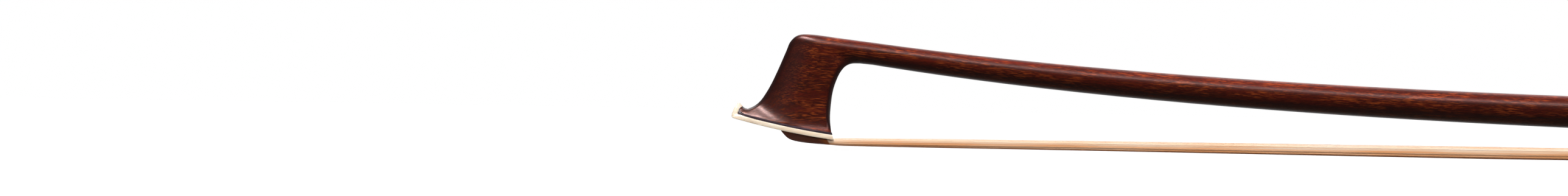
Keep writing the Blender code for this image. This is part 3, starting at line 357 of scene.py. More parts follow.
def deselectAll():
    if bpy.context.object and bpy.context.object.mode != "OBJECT":
        bpy.ops.object.mode_set(mode="OBJECT")
    bpy.ops.object.select_all(action="DESELECT")


def makeActive(piece):
    deselectAll()
    piece.select_set(True)
    bpy.context.view_layer.objects.active = piece


def applyModifier(piece, kind, **settings):
    makeActive(piece)
    step = piece.modifiers.new(kind.lower(), kind)
    for name, value in settings.items():
        setattr(step, name, value)
    bpy.ops.object.modifier_apply(modifier=step.name)


def finishPiece(piece, name, material, body, nodes, smooth=35):
    makeActive(piece)
    bpy.ops.object.transform_apply(location=True, rotation=True, scale=True)
    bpy.ops.object.mode_set(mode="EDIT")
    bpy.ops.mesh.select_all(action="SELECT")
    bpy.ops.mesh.normals_make_consistent(inside=False)
    bpy.ops.object.mode_set(mode="OBJECT")
    bpy.ops.object.shade_smooth_by_angle(angle=math.radians(smooth))
    piece.name = name
    piece.data.name = name
    piece.data.materials.clear()
    piece.data.materials.append(material)
    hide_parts(*nodes)
    if body:
        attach(piece, body)


def tubeFaces(first, rows, sides, closed=False):
    # quads round a run of rings whose points start at first; an open run gets flat ends
    faces = []
    for row in range(rows if closed else rows - 1):
        base = first + row * sides
        ahead = first + (row + 1) % rows * sides
        for i in range(sides):
            j = (i + 1) % sides
            faces.append((base + i, base + j, ahead + j, ahead + i))
    if not closed:
        faces.append(tuple(range(first, first + sides)))
        faces.append(tuple(range(first + (rows - 1) * sides, first + rows * sides)))
    return faces


def addMesh(name, points, faces):
    mesh = bpy.data.meshes.new(name)
    mesh.from_pydata([tuple(point) for point in points], [], faces)
    mesh.validate()
    piece = bpy.data.objects.new(name, mesh)
    bpy.context.scene.collection.objects.link(piece)
    return piece


def skinRings(name, rings, closed=False):
    points = [point for ring in rings for point in ring]
    return addMesh(name, points, tubeFaces(0, len(rings), len(rings[0]), closed))


def smoothLine(points, place):
    # a point on the smooth curve through points, place counted in points
    index = max(min(int(place), len(points) - 2), 0)
    part = place - index
    before = points[max(index - 1, 0)]
    after = points[min(index + 2, len(points) - 1)]
    found = []
    for a, b, c, d in zip(before, points[index], points[index + 1], after):
        bend = (2 * a - 5 * b + 4 * c - d) * part ** 2 + (3 * b - a - 3 * c + d) * part ** 3
        found.append(b + 0.5 * ((c - a) * part + bend))
    return found


# The bow's own line, in metres from the plate's nose and up from the nose's datum
bowLine = {
    "beakTipHeight": 10.5 * mm,
    "beakReach": 0.27 * mm,
    "stickLength": 728 * mm,
    "straightLength": 108 * mm,
    "startHeight": 17.66 * mm,
    "fall": 0.0527,
    "lift": 10.6 * mm,
    "liftFade": 77 * mm,
    "tipThickness": 5.3 * mm,
    "buttThickness": 8.6 * mm,
    "thickeningLength": 130 * mm,
    "throatAlong": 32 * mm,
    "octagonLength": 76 * mm,
    "octagonFade": 8 * mm,
    "softCorner": 1.04,  # the round that the leather is drawn to over the handle, in half thicknesses
    "axisOverFerrule": 22.55 * mm,
    "ferruleToEnd": 58.5 * mm,
    "grainTurn": 55 * mm,  # ahead of this the grain levels out through the head
    "grainEase": 2.5,
    "sides": 48,
}
plateLow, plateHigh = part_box("tip_plate")
noseX = plateLow.x + bowLine["beakReach"]
noseZ = plateHigh.z - bowLine["beakTipHeight"]
handleEnd = Vector(screwJoint["pos_m"])
handleAngle = math.atan2(-screwJoint["axis"][2], -screwJoint["axis"][0])
frogMatrix = (
    Matrix.Translation(handleEnd)
    @ Matrix.Rotation(-handleAngle, 4, "Y")
    @ Matrix.Translation((-bowLine["ferruleToEnd"], 0, -bowLine["axisOverFerrule"]))
)
straightFrom = bowLine["stickLength"] - bowLine["straightLength"]
fadeThere = math.exp(-straightFrom / bowLine["liftFade"])
plainHeight = bowLine["startHeight"] - bowLine["fall"] * straightFrom + bowLine["lift"] * fadeThere
plainSlope = -bowLine["fall"] - bowLine["lift"] / bowLine["liftFade"] * fadeThere
camberRise = (
    (handleEnd.z - noseZ - plainHeight - plainSlope * bowLine["straightLength"])
    / (straightFrom ** 2 + 2 * straightFrom * bowLine["straightLength"])
)


def stickAxis(along):
    bent = min(along, straightFrom)
    fade = math.exp(-bent / bowLine["liftFade"])
    height = bowLine["startHeight"] - bowLine["fall"] * bent + camberRise * bent ** 2 + bowLine["lift"] * fade
    slope = -bowLine["fall"] + 2 * camberRise * bent - bowLine["lift"] / bowLine["liftFade"] * fade
    return height + slope * (along - bent), slope


def stickHalf(along):
    grown = 1 - math.exp(-(along - bowLine["throatAlong"]) / bowLine["thickeningLength"])
    return (bowLine["tipThickness"] + (bowLine["buttThickness"] - bowLine["tipThickness"]) * grown) / 2


def facetedShare(along):
    start = bowLine["stickLength"] - bowLine["octagonLength"] - bowLine["octagonFade"]
    return min(max((along - start) / bowLine["octagonFade"], 0.0), 1.0)


def stickReach(along, angle, proud=0.0, soften=0.0):
    # distance from the stick's centre line to its skin, round ahead and eight-sided at the handle
    offFlat = (angle + math.pi / 8) % (math.pi / 4) - math.pi / 8
    flat = bowLine["buttThickness"] / 2 / math.cos(offFlat)
    corner = bowLine["buttThickness"] / 2 * bowLine["softCorner"]
    flat = flat * (1 - soften) + corner * soften
    share = facetedShare(along)
    return stickHalf(along) * (1 - share) + flat * share + proud


def onStick(along, aside, angle, reach):
    # the point in the row frame at an angle from the top, aside along the stick
    height, slope = stickAxis(along)
    tilt = math.atan(slope)
    up = reach * math.cos(angle)
    return Vector((
        noseX + along + aside * math.cos(tilt) - up * math.sin(tilt),
        reach * math.sin(angle),
        noseZ + height + aside * math.sin(tilt) + up * math.cos(tilt),
    ))


def stickRing(along, proud=0.0, soften=0.0):
    angles = [2 * math.pi * i / bowLine["sides"] for i in range(bowLine["sides"])]
    return [onStick(along, 0, angle, stickReach(along, angle, proud, soften)) for angle in angles]


# The head: front and top points of the wood, each with the place behind it, in millimetres from the nose
headShape = {
    "horn": [
        ((2.28, 9.72), (1.76, 9.60), 0.5),
        ((2.62, 9.42), (1.68, 9.02), 0.62),
        ((3.00, 9.22), (1.82, 8.46), 0.74),
        ((3.60, 9.08), (2.24, 8.10), 0.85),
    ],
    "seat": [(5.30, 9.88), (6.85, 11.30), (8.50, 13.85)],
    "cheeks": [
        ((8.50, 13.85), (23.84, 3.66)),
        ((9.70, 16.20), (23.50, 7.60)),
        ((11.20, 19.60), (24.02, 13.30)),
        ((12.70, 23.20), (25.25, 17.15)),
        ((13.70, 25.50), (26.50, 19.15)),
        ((15.68, 27.08), (27.60, 20.00)),
        ((19.20, 27.22), (28.80, 20.38)),
        ((25.00, 26.53), (30.60, 20.42)),
    ],
    "hornLinesBetween": 4,
    "linesBetween": 6,
    "stickFrom": 3.2,  # where the rings start to turn round like the stick, counted in cheek lines
    "stickOver": 3.8,
    "ridgeHalf": 0.45 * mm,
    "ridgeReach": 10.5 * mm,
    "ridgeSwell": 2.2,
    "topReach": 1.9 * mm,
    "cornerAt": 13.4 * mm,
    "ridgeRunOn": 3 * mm,  # the ridge's line goes on past the corner
    "topLine": [(5, 28.6), (12, 27.9), (17.4, 27.38), (22.7, 26.8), (28, 26.17), (36, 25.2)],
    "cheekTopHalf": 2.8 * mm,
    "cheekFlare": 1.9 * mm,
    "cheekFlareHeight": 9 * mm,
    "coveHeight": 1.5 * mm,  # the cove over the liner, wide at the nose
    "coveHeightRear": 0.6 * mm,
    "coveFrom": 5 * mm,
    "coveUntil": 10 * mm,
    "coveStart": 0.3 * mm,
    "coveFall": 1.1,
    "rearChamfer": 1.4 * mm,
    "rearChamferShare": 0.25,
    "rearChamferDepth": 0.36,
    "rearPoints": 6,  # points in a ring's last stretch, where the wood flares or is chamfered
    "pointSpread": ((0.35, 2.2), (0.65, 1.15)),  # weights and powers, closest at the ridge
    "bluntRidge": 0.5 * mm,
}
plateShape = {
    "length": 24.8 * mm,
    "noseHeight": 6.78 * mm,
    "noseAngle": math.radians(-15.2),
    "rearAngle": math.radians(-7.6),
    "thickness": 1.05 * mm,
    "linerThickness": 0.55 * mm,
    "glue": 0.06 * mm,
    "overlap": (0.1 * mm, 0.02 * mm),  # glued, with no slit under the liner or under the wood
    "rearHalf": 5.2 * mm,
    "noseHalf": 1.7 * mm,
    "tipHalf": 1.1 * mm,
    "fullness": (2.4, 0.8),
    "cornerShare": 0.2,
    "mortise": (11.15 * mm, 20.45 * mm, 2.35 * mm, -5 * mm, 10.3 * mm),  # start, end, half width, low, high
    "stations": 8,
    "plateStep": 0.107,  # of the length
    "linerStep": 0.098,
    "linesBetween": 4,
    "beakOuter": [(0.30, 6.70), (-0.12, 6.98), (-0.27, 7.45), (0.20, 8.95), (1.40, 10.74)],
    "beakInner": [(1.75, 7.66), (1.30, 7.76), (1.24, 8.05), (1.58, 9.00), (2.42, 9.64)],
    "linerOuter": [(1.80, 7.60), (1.30, 7.76), (1.26, 8.10), (1.44, 8.60), (1.58, 9.00)],
    "linerInner": [(2.52, 8.06), (2.20, 8.24), (2.04, 8.44), (1.90, 8.70), (1.80, 9.04)],
    "rearBottom": 24.45 * mm,  # the plate's rear end leans back under the head's flare
    "rearTop": 24.05 * mm,
    "linerRear": 23.95 * mm,
    "linerLean": 0.22 * mm,
    "beakWidths": (1.3, 1.15, 1.05, 0.9),  # of the nose's half width
    "linerWidths": (1.2, 1.1, 1.0, 0.9, 0.8),
}
plateRadius = plateShape["length"] / (plateShape["rearAngle"] - plateShape["noseAngle"])
plateCentre = Vector((
    -plateRadius * math.sin(plateShape["noseAngle"]),
    plateShape["noseHeight"] + plateRadius * math.cos(plateShape["noseAngle"]),
))
linerSeat = plateShape["thickness"] + plateShape["glue"]
woodSeat = linerSeat + plateShape["linerThickness"] + plateShape["glue"]


def onPlate(along, depth=0.0):
    # a point inside the plate's curved underside, at a depth from it
    radius = plateRadius - depth
    return Vector((along, plateCentre.y - math.sqrt(radius ** 2 - (along - plateCentre.x) ** 2)))


def planHalf(along):
    # the plate's half width, seen from below
    share = min(max(along / plateShape["length"], 0.0), 1.0)
    power, fullness = plateShape["fullness"]
    grown = (1 - (1 - share) ** power) ** fullness
    return plateShape["noseHalf"] + (plateShape["rearHalf"] - plateShape["noseHalf"]) * grown


def gapTo(line, point):
    # shortest way from a point to a line of points
    best = 1.0
    for a, b in zip(line, line[1:]):
        along = b - a
        part = min(max((point - a).dot(along) / along.dot(along), 0.0), 1.0)
        best = min(best, (point - a - along * part).length)
    return best


def cheekHalf(point, frontLine, topLine):
    # half the head's thickness at a place on its side: ridge, cheek and the flare onto the liner
    shape = headShape
    over = max(plateRadius - woodSeat - (point - plateCentre).length, 0.0)
    fromFront = gapTo(frontLine, point)
    fromTop = min(gapTo(topLine, point) / shape["topReach"], 1.0)
    cheek = shape["cheekTopHalf"] + shape["cheekFlare"] * math.exp(-over / shape["cheekFlareHeight"])
    swell = 1 - (1 - min(fromFront / shape["ridgeReach"], 1.0)) ** shape["ridgeSwell"]
    ridge = shape["ridgeHalf"] * math.sqrt(min(fromFront / shape["ridgeHalf"], 1.0))
    cheek = (ridge + (cheek - shape["ridgeHalf"]) * swell) * math.sqrt(1 - (1 - fromTop) ** 2)
    rearward = min(max((point.x - shape["coveFrom"]) / (shape["coveUntil"] - shape["coveFrom"]), 0.0), 1.0)
    height = shape["coveHeight"] + (shape["coveHeightRear"] - shape["coveHeight"]) * rearward
    cove = math.exp(-((over / height) ** shape["coveFall"])) * min(fromFront / shape["coveStart"], 1.0) ** 0.5
    return cheek + max(planHalf(point.x) - cheek, 0.0) * cove


def headRing(front, rear, edges, stickness, chamfered, squeeze):
    # a ring from the ridge along the cheek to the rear face, both sides
    shape = headShape
    length = (rear - front).length
    edge = min(shape["rearChamfer"], shape["rearChamferShare"] * length)
    half = bowLine["sides"] // 2
    closer = shape["rearPoints"]
    first = half - 2 - closer
    side = []
    for k in range(half + 1):
        angle = math.pi * k / half
        if k <= first:
            part = k / first
            spread = sum(weight * part ** power for weight, power in shape["pointSpread"])
            share = (1 - edge / length) * spread
            turned = 0.0
        else:
            turned = min((k - first) / closer, 1.0)
            share = 1 - edge / length * (1 - turned)
        share += ((1 - math.cos(angle)) / 2 - share) * stickness
        point = front + (rear - front) * share
        blunt = math.sqrt(min(share * length / shape["bluntRidge"], 1.0))
        width = cheekHalf(point, *edges) * squeeze * blunt
        width *= 1 - shape["rearChamferDepth"] * chamfered * turned ** 2
        width *= min((half - k) / 2, 1.0)
        width += (min(length / 2, bowLine["tipThickness"] / 2) * math.sin(angle) - width) * stickness
        side.append(Vector((noseX + point.x, width, noseZ + point.y)))
    back = [Vector((p.x, -p.y, p.z)) for p in reversed(side[1:-1])]
    return side + back


def headRings():
    shape = headShape
    between = shape["linesBetween"]
    horn = [(Vector(front) * mm, Vector(rear) * mm) for front, rear, share in shape["horn"]]
    shares = [share for front, rear, share in shape["horn"]]
    seatFronts = [horn[-1][0]] + [Vector(point) * mm for point in shape["seat"]]
    cheeks = [(Vector(front) * mm, Vector(rear) * mm) for front, rear in shape["cheeks"]]
    fronts = [front for front, rear in cheeks]
    rears = [onPlate(cheeks[0][1].x, woodSeat)] + [rear for front, rear in cheeks[1:]]
    lines = []
    finer = shape["hornLinesBetween"]
    for step in range(finer * (len(horn) - 1) + 1):
        place = step / finer
        front = Vector(smoothLine([line[0] for line in horn], place))
        rear = Vector(smoothLine([line[1] for line in horn], place))
        lines.append((front, rear, 0, 0, smoothLine([(share,) for share in shares], place)[0]))
    steps = 3 * between
    for step in range(1, steps):
        part = step / steps
        front = Vector(smoothLine(seatFronts, part * (len(seatFronts) - 1)))
        along = horn[-1][1].x + (cheeks[0][1].x - horn[-1][1].x) * part
        share = shares[-1] + (1 - shares[-1]) * min(part * 4, 1)
        lines.append((front, onPlate(along, woodSeat), 0, 0, share))
    for step in range((len(cheeks) - 1) * between + 1):
        place = step / between
        stickness = min(max(place - shape["stickFrom"], 0.0) / shape["stickOver"], 1.0)
        stickness = stickness * stickness * (3 - 2 * stickness)
        front, rear = Vector(smoothLine(fronts, place)), Vector(smoothLine(rears, place))
        lines.append((front, rear, stickness, min(place, 1.0), 1.0))
    frontLine = [line[0] for line in lines if line[0].x < shape["cornerAt"]]
    frontLine.append(frontLine[-1] + (frontLine[-1] - frontLine[-2]).normalized() * shape["ridgeRunOn"])
    topLine = [Vector(point) * mm for point in shape["topLine"]]
    return [headRing(line[0], line[1], (frontLine, topLine), *line[2:]) for line in lines]


def grainLine(along):
    # height of the wood's grain: it follows the stick, and levels out through the head
    turn, ease = bowLine["grainTurn"], bowLine["grainEase"]
    if along >= turn:
        return stickAxis(along)[0]
    height, slope = stickAxis(turn)
    return height - slope * turn / ease * (1 - max(along / turn, 0.0) ** ease)


def writeGrain(piece):
    attribute = piece.data.attributes.new("grain", "FLOAT_VECTOR", "POINT")
    values = []
    for vertex in piece.data.vertices:
        along = vertex.co.x - noseX
        values.extend((along, vertex.co.y, vertex.co.z - noseZ - grainLine(along)))
    attribute.data.foreach_set("vector", values)


def cutBox(piece, low, high, matrix=None):
    # a block is added, placed, and cut out of the piece
    deselectAll()
    bpy.ops.mesh.primitive_cube_add(size=1)
    cutter = bpy.context.active_object
    size = Matrix.Diagonal((*(high - low), 1))
    cutter.matrix_world = (matrix or Matrix.Identity(4)) @ Matrix.Translation((low + high) / 2) @ size
    applyModifier(piece, "BOOLEAN", operation="DIFFERENCE", solver="EXACT", object=cutter)
    bpy.data.objects.remove(cutter)


def cutRound(piece, start, end, radius):
    # a rod from start to end is cut out of the piece
    deselectAll()
    bpy.ops.mesh.primitive_cylinder_add(vertices=24, radius=radius, depth=(end - start).length)
    cutter = bpy.context.active_object
    cutter.rotation_mode = "QUATERNION"
    cutter.rotation_quaternion = (end - start).to_track_quat("Z", "Y")
    cutter.location = (start + end) / 2
    applyModifier(piece, "BOOLEAN", operation="DIFFERENCE", solver="EXACT", object=cutter)
    bpy.data.objects.remove(cutter)


def mortiseBox(inset=0.0):
    start, stop, half, low, high = plateShape["mortise"]
    return (
        Vector((noseX + start + inset, -half, noseZ + low)),
        Vector((noseX + stop - inset, half, noseZ + high)),
    )


# The stick's rings, its handle's edges and what is cut into it
stickShape = {
    "ringsFrom": 2 * mm,  # behind the throat
    "spacing": 3 * mm,
    "spacingGrowth": 1.15,
    "widestSpacing": 9 * mm,
    "handleRings": (0.0, 4 * mm, 8 * mm, 40 * mm),
    "nippleRadius": 3.2 * mm,
    "nippleLength": 1.2 * mm,
    "edgeBevel": 0.14 * mm,
    "edgeAngle": 0.6,
    "mortiseInset": 0.15 * mm,  # the wood's mortise is a little shorter than the plate's
    "boreRadius": 1.4 * mm,
    "boreDepth": 60 * mm,
    "boreRunOut": 3 * mm,
    "frogMortiseLow": (13.9 * mm, -2.4 * mm, 17 * mm),  # in the frog's own frame
    "frogMortiseHigh": (36.6 * mm, 2.4 * mm, 25.65 * mm),
}


def roundHandle(stick):
    # the handle's eight long edges are eased, as a scraper leaves them
    makeActive(stick)
    bpy.ops.object.mode_set(mode="EDIT")
    mesh = bmesh.from_edit_mesh(stick.data)
    handleFrom = noseX + bowLine["stickLength"] - bowLine["octagonLength"] + 1 * mm
    for edge in mesh.edges:
        rearmost = min(vertex.co.x for vertex in edge.verts) > handleFrom
        edge.select = (
            rearmost and len(edge.link_faces) == 2
            and edge.calc_face_angle() > stickShape["edgeAngle"]
        )
    bmesh.update_edit_mesh(stick.data)
    bpy.ops.mesh.bevel(offset=stickShape["edgeBevel"], segments=2)
    bpy.ops.object.mode_set(mode="OBJECT")


def buildStick(material):
    shape = stickShape
    rings = headRings()
    along = bowLine["throatAlong"] + shape["ringsFrom"]
    spacing = shape["spacing"]
    end = bowLine["stickLength"]
    fadeStart = end - bowLine["octagonLength"] - bowLine["octagonFade"]
    while along < fadeStart - spacing:
        rings.append(stickRing(along))
        along += spacing
        spacing = min(spacing * shape["spacingGrowth"], shape["widestSpacing"])
    for along in [fadeStart + step for step in shape["handleRings"]] + [end]:
        rings.append(stickRing(along))
    sides = bowLine["sides"]
    angles = [2 * math.pi * i / sides for i in range(sides)]
    for out in (0.0, shape["nippleLength"]):
        rings.append([onStick(end, out, angle, shape["nippleRadius"]) for angle in angles])
    stick = skinRings("pernambuco_stick", rings)
    roundHandle(stick)
    cutBox(stick, *mortiseBox(shape["mortiseInset"]))
    axis = Vector((math.cos(handleAngle), 0, math.sin(handleAngle)))
    deep, out = handleEnd - axis * shape["boreDepth"], handleEnd + axis * shape["boreRunOut"]
    cutRound(stick, deep, out, shape["boreRadius"])
    cutBox(stick, Vector(shape["frogMortiseLow"]), Vector(shape["frogMortiseHigh"]), frogMatrix)
    finishPiece(stick, "pernambuco_stick", material, "stick", ["stick"], 30)
    writeGrain(stick)
    print("stick", len(stick.data.polygons))


def stripRings(stations):
    # flat rings with cut corners from outer point, inner point and half width
    rings = []
    for outer, inner, half in stations:
        outer, inner = Vector(outer), Vector(inner)
        cut = min((outer - inner).length, half) * plateShape["cornerShare"]
        corner = (inner - outer).normalized() * cut
        side = [
            (outer, 0.0), (outer, half * 0.5), (outer, half - cut),
            (outer + corner * 0.3, half - cut * 0.3), (outer + corner, half),
            (inner - corner, half), (inner - corner * 0.3, half - cut * 0.3),
            (inner, half - cut), (inner, half * 0.5), (inner, 0.0),
        ]
        ring = [Vector((noseX + p.x, y, noseZ + p.y)) for p, y in side]
        rings.append(ring + [Vector((p.x, -p.y, p.z)) for p in reversed(ring[1:-1])])
    return rings


def finerStations(stations, between):
    packed = [(*outer, *inner, half) for outer, inner, half in stations]
    finer = []
    for step in range((len(packed) - 1) * between + 1):
        a, b, c, d, half = smoothLine(packed, step / between)
        finer.append(((a, b), (c, d), half))
    return finer


def skinAlongPlate(name, lowRear, highRear, start, step, depths, beak, widths):
    # stations from the rear forward along the plate's arc, then round the beak, with the mortise cut
    shape = plateShape
    low, high = depths
    stations = [(onPlate(lowRear, low), onPlate(highRear, high), shape["rearHalf"])]
    for k in range(1, shape["stations"] + 1):
        along = start - shape["length"] * step * k
        stations.append((onPlate(along, low), onPlate(along, high), planHalf(along)))
    for outer, inner, half in zip(*beak, widths):
        stations.append((Vector(outer) * mm, Vector(inner) * mm, half))
    piece = skinRings(name, stripRings(finerStations(stations, shape["linesBetween"])))
    cutBox(piece, *mortiseBox())
    return piece


def buildPlateAndLiner(bone, ebony):
    shape = plateShape
    nose = shape["noseHalf"]
    plateTop, linerTop = linerSeat + shape["overlap"][0], woodSeat + shape["overlap"][1]
    bottom, rear = shape["rearBottom"], shape["linerRear"]
    plate = skinAlongPlate(
        "bone_tip_plate", bottom, shape["rearTop"], bottom, shape["plateStep"], (0.0, plateTop),
        (shape["beakOuter"], shape["beakInner"]),
        [nose * width for width in shape["beakWidths"]] + [shape["tipHalf"]],
    )
    finishPiece(plate, "bone_tip_plate", bone, "stick", ["tip_plate"], 40)
    liner = skinAlongPlate(
        "ebony_tip_liner", rear + shape["linerLean"], rear, rear, shape["linerStep"], (plateTop, linerTop),
        (shape["linerOuter"], shape["linerInner"]),
        [nose * width for width in shape["linerWidths"]],
    )
    finishPiece(liner, "ebony_tip_liner", ebony, "stick", ["tip_liner"], 40)
    print("plate and liner")


# The hair's side outline in millimetres from the nose: lower point, upper point and half width
hairShape = {
    "bend": [
        ((11.35, 9.3), (13.6, 9.3), 2.05),
        ((11.35, 6.5), (13.7, 6.5), 2.1),
        ((11.5, 4.5), (13.9, 4.6), 2.15),
        ((12.3, 3.25), (14.6, 3.6), 2.3),
        ((13.75, 2.0), (15.95, 3.2), 2.65),
        ((15.9, 1.38), (17.4, 2.93), 3.2),
        ((18.6, 1.05), (19.3, 2.60), 3.75),
        ((21.6, 0.84), (21.9, 2.19), 4.2),
        ((23.7, 0.70), (23.6, 1.92), 4.4),
        ((24.6, 0.65), (24.5, 2.16), 4.5),
        ((25.8, 0.57), (25.7, 2.24), 4.6),
        ((28.4, 0.48), (28.4, 2.31), 4.65),
    ],
    "run": [
        ((33, 0.44), (33, 2.33), 4.7),
        ((50, 0.38), (50, 2.48), 4.7),
        ((85, 0.28), (85, 2.56), 4.6),
        ((130, 0.04), (130, 2.62), 4.5),
        ((182, -0.22), (182, 2.66), 4.4),
        ((260, -0.2), (260, 2.6), 4.4),
        ((380, -0.2), (380, 2.3), 4.6),
        ((500, -0.1), (500, 1.85), 4.9),
        ((620, 0.0), (620, 1.3), 5.2),
        ((668, 0.08), (668, 1.15), 5.3),
    ],
    # in the frog's own frame
    "underFerrule": ((2.6, 0.62), (2.6, 1.72), 5.2),
    "inFrog": [
        ((2.2, 0.6), (2.2, 1.75), 5.2),
        ((5.8, 0.6), (5.8, 1.75), 5.0),
        ((9.4, 2.8), (9.0, 4.0), 3.7),
        ((16, 2.9), (16, 4.0), 3.5),
        ((27.5, 2.9), (27.5, 4.0), 3.5),
        ((30.2, 3.2), (29.6, 4.4), 3.3),
        ((30.6, 5.5), (29.5, 5.5), 3.2),
        ((30.6, 8.1), (27.0, 8.1), 3.1),
    ],
    "count": 420,
    "radius": 0.13 * mm,
    "frogCount": 150,
    "frogRadius": 0.12 * mm,
    "evenSteps": (0.7548776662, 0.5698402910),  # steps of the plastic ratio fill a plane evenly
    "roundSides": (5, 0.86),
    "thickness": (0.85, 1.15),
    "drift": (0.004, 0.02),
    "driftPace": 0.35,
    "strandSides": 4,
    "coreCorners": 12,
    "coreSquareness": 0.4,
    "coreHalfHeight": 0.46,
    "coreInset": 1.4,  # strand radii
}


def layStrands(name, stations, count, radius, seed):
    # hairs through the stations, evenly spread over a flat round-edged section, none in rows
    # a station is its lower point, its upper point and its half width
    shape = hairShape
    picker = random.Random(seed)
    points, faces, tones = [], [], []
    power, rounding = shape["roundSides"]
    sides = shape["strandSides"]
    for index in range(count):
        across, depth = [((index + 0.5) * step % 1) * 2 - 1 for step in shape["evenSteps"]]
        depth *= math.sqrt(1 - abs(across) ** power * rounding)
        tone = 0.3 * picker.random() + 0.35 * (depth + 1)  # random tone plus painted light: upper hairs paler, lower ones browner
        thick = radius * picker.uniform(*shape["thickness"])
        phase, drift = picker.uniform(0, 6.28), picker.uniform(*shape["drift"])
        path = []
        for place, (outer, inner, half) in enumerate(stations):
            outer, inner = Vector(outer), Vector(inner)
            swing = math.sin(place * shape["driftPace"] + phase) * drift
            spread = 1 - radius / max((inner - outer).length, 2 * radius)
            share = 0.5 + min(max(depth + swing * 4, -1), 1) / 2 * spread
            spot = outer + (inner - outer) * share
            path.append(Vector((spot.x, min(max(across + swing, -1), 1) * (half - radius), spot.y)))
        faces += tubeFaces(len(points), len(path), sides)
        for place, spot in enumerate(path):
            ahead = path[min(place + 1, len(path) - 1)] - path[max(place - 1, 0)]
            up = Vector((-ahead.z, 0, ahead.x)).normalized()
            for corner in range(sides):
                angle = 2 * math.pi * corner / sides + math.pi / 4
                points.append(spot + up * thick * math.cos(angle) + Vector((0, thick * math.sin(angle), 0)))
                tones.append(tone)
    # the hairs packed inside are one core, so no light falls through the outer ones
    corners = shape["coreCorners"]
    faces += tubeFaces(len(points), len(stations), corners)
    for outer, inner, half in stations:
        outer, inner = Vector(outer), Vector(inner)
        for corner in range(corners):
            angle = 2 * math.pi * (corner + 0.5) / corners
            along, aside = [
                math.copysign(abs(part) ** shape["coreSquareness"], part)
                for part in (math.sin(angle), math.cos(angle))
            ]
            height = 0.5 + along * shape["coreHalfHeight"]
            spot = outer + (inner - outer) * height
            points.append(Vector((spot.x, aside * (half - shape["coreInset"] * radius), spot.y)))
            # painted light: the core's tone rises towards its top
            tones.append(0.2 + 0.6 * height)
    piece = addMesh(name, points, faces)
    attribute = piece.data.attributes.new("tone", "FLOAT", "POINT")
    attribute.data.foreach_set("value", tones)
    return piece


def placeInFrog(stations):
    placed = []
    for outer, inner, half in stations:
        low, high = [frogMatrix @ Vector((along * mm, 0, up * mm)) for along, up in (outer, inner)]
        placed.append(((low.x, low.z), (high.x, high.z), half * mm))
    return placed


def buildHair(material, plainMaterial):
    shape = hairShape
    stations = []
    for outer, inner, half in finerStations(shape["bend"], 3) + shape["run"]:
        low, high = [(noseX + along * mm, noseZ + up * mm) for along, up in (outer, inner)]
        stations.append((low, high, half * mm))
    stations += placeInFrog([shape["underFerrule"]])
    hair = layStrands("horsehair_ribbon", stations, shape["count"], shape["radius"], 7)
    finishPiece(hair, "horsehair_ribbon", material, None, ["hair_ribbon", "tip_hair"], 60)
    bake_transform(hair)
    print("hair", len(hair.data.polygons))
    stations = placeInFrog(shape["inFrog"])
    bundle = layStrands("horsehair_in_frog", stations, shape["frogCount"], shape["frogRadius"], 11)
    finishPiece(bundle, "horsehair_in_frog", plainMaterial, "frog", ["frog_hair"], 60)


# The grip: a pared leather and a two-colour lapping
gripShape = {
    "leatherThickness": 1.0 * mm,
    "leatherLift": 0.15 * mm,
    "leatherInset": (0.15 * mm, 0.35 * mm),  # inside the leather's node, front and rear
    "leatherStations": 30,
    "edgeShare": 0.3,  # of the thickness, left at the pared ends
    "skived": 2.2 * mm,
    "skiveEase": 0.6,
    "softness": 0.35,  # how far the leather rounds the handle's corners off
    "lappingInset": 0.75 * mm,
    "turns": 24,
    "paleTurnsLess": 0.45,
    "pitch": 3.0 * mm,
    "stripWidth": 1.38 * mm,
    "stripThickness": 0.42 * mm,
    "stripLift": 0.1 * mm,
    "stripCrown": [(1.0, 0.0), (1.0, 0.6), (0.5, 0.95), (0.0, 1.05)],  # of the half width and the thickness
    "stepsPerTurn": 40,
}


def buildGrip(leather, dark, pale):
    shape = gripShape
    low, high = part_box("thumb_leather")
    start, end = low.x - noseX + shape["leatherInset"][0], high.x - noseX - shape["leatherInset"][1]
    outer, inner = [], []
    steps = shape["leatherStations"]
    for step in range(steps + 1):
        along = start + (end - start) * step / steps
        fromEnd = min(along - start, end - along)
        pared = min(fromEnd / shape["skived"], 1.0) ** shape["skiveEase"]
        thick = shape["leatherThickness"] * (shape["edgeShare"] + (1 - shape["edgeShare"]) * pared)
        outer.append(stickRing(along, shape["leatherLift"] + thick, shape["softness"]))
        inner.append(stickRing(along, shape["leatherLift"]))
    sleeve = skinRings("goatskin_thumb_grip", outer + list(reversed(inner)), True)
    finishPiece(sleeve, "goatskin_thumb_grip", leather, "stick", ["thumb_leather"], 50)
    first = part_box("lapping_dark")[0].x - noseX + shape["lappingInset"]
    width, thick = shape["stripWidth"] / 2, shape["stripThickness"]
    crown = [(-aside, up) for aside, up in shape["stripCrown"]]
    crown += [(aside, up) for aside, up in reversed(shape["stripCrown"][:-1])]
    most, fewer = shape["turns"], shape["turns"] - shape["paleTurnsLess"]
    for name, material, node, offset, turns, slot in (
        ("lapping_strip_dark", dark, "lapping_dark", 0.0, most, "dark_lapping"),
        ("lapping_strip_pale", pale, "lapping_light", 0.5, fewer, "light_lapping"),
    ):
        rings = []
        for step in range(int(turns * shape["stepsPerTurn"]) + 1):
            turn = 2 * math.pi * step / shape["stepsPerTurn"]
            along = first + shape["pitch"] * (step / shape["stepsPerTurn"] + offset)
            base = stickHalf(along) + shape["stripLift"]
            rings.append([onStick(along, width * aside, turn, base + thick * up) for aside, up in crown])
        finishPiece(skinRings(name, rings), name, material, "stick", [node], 50)
    print("grip")


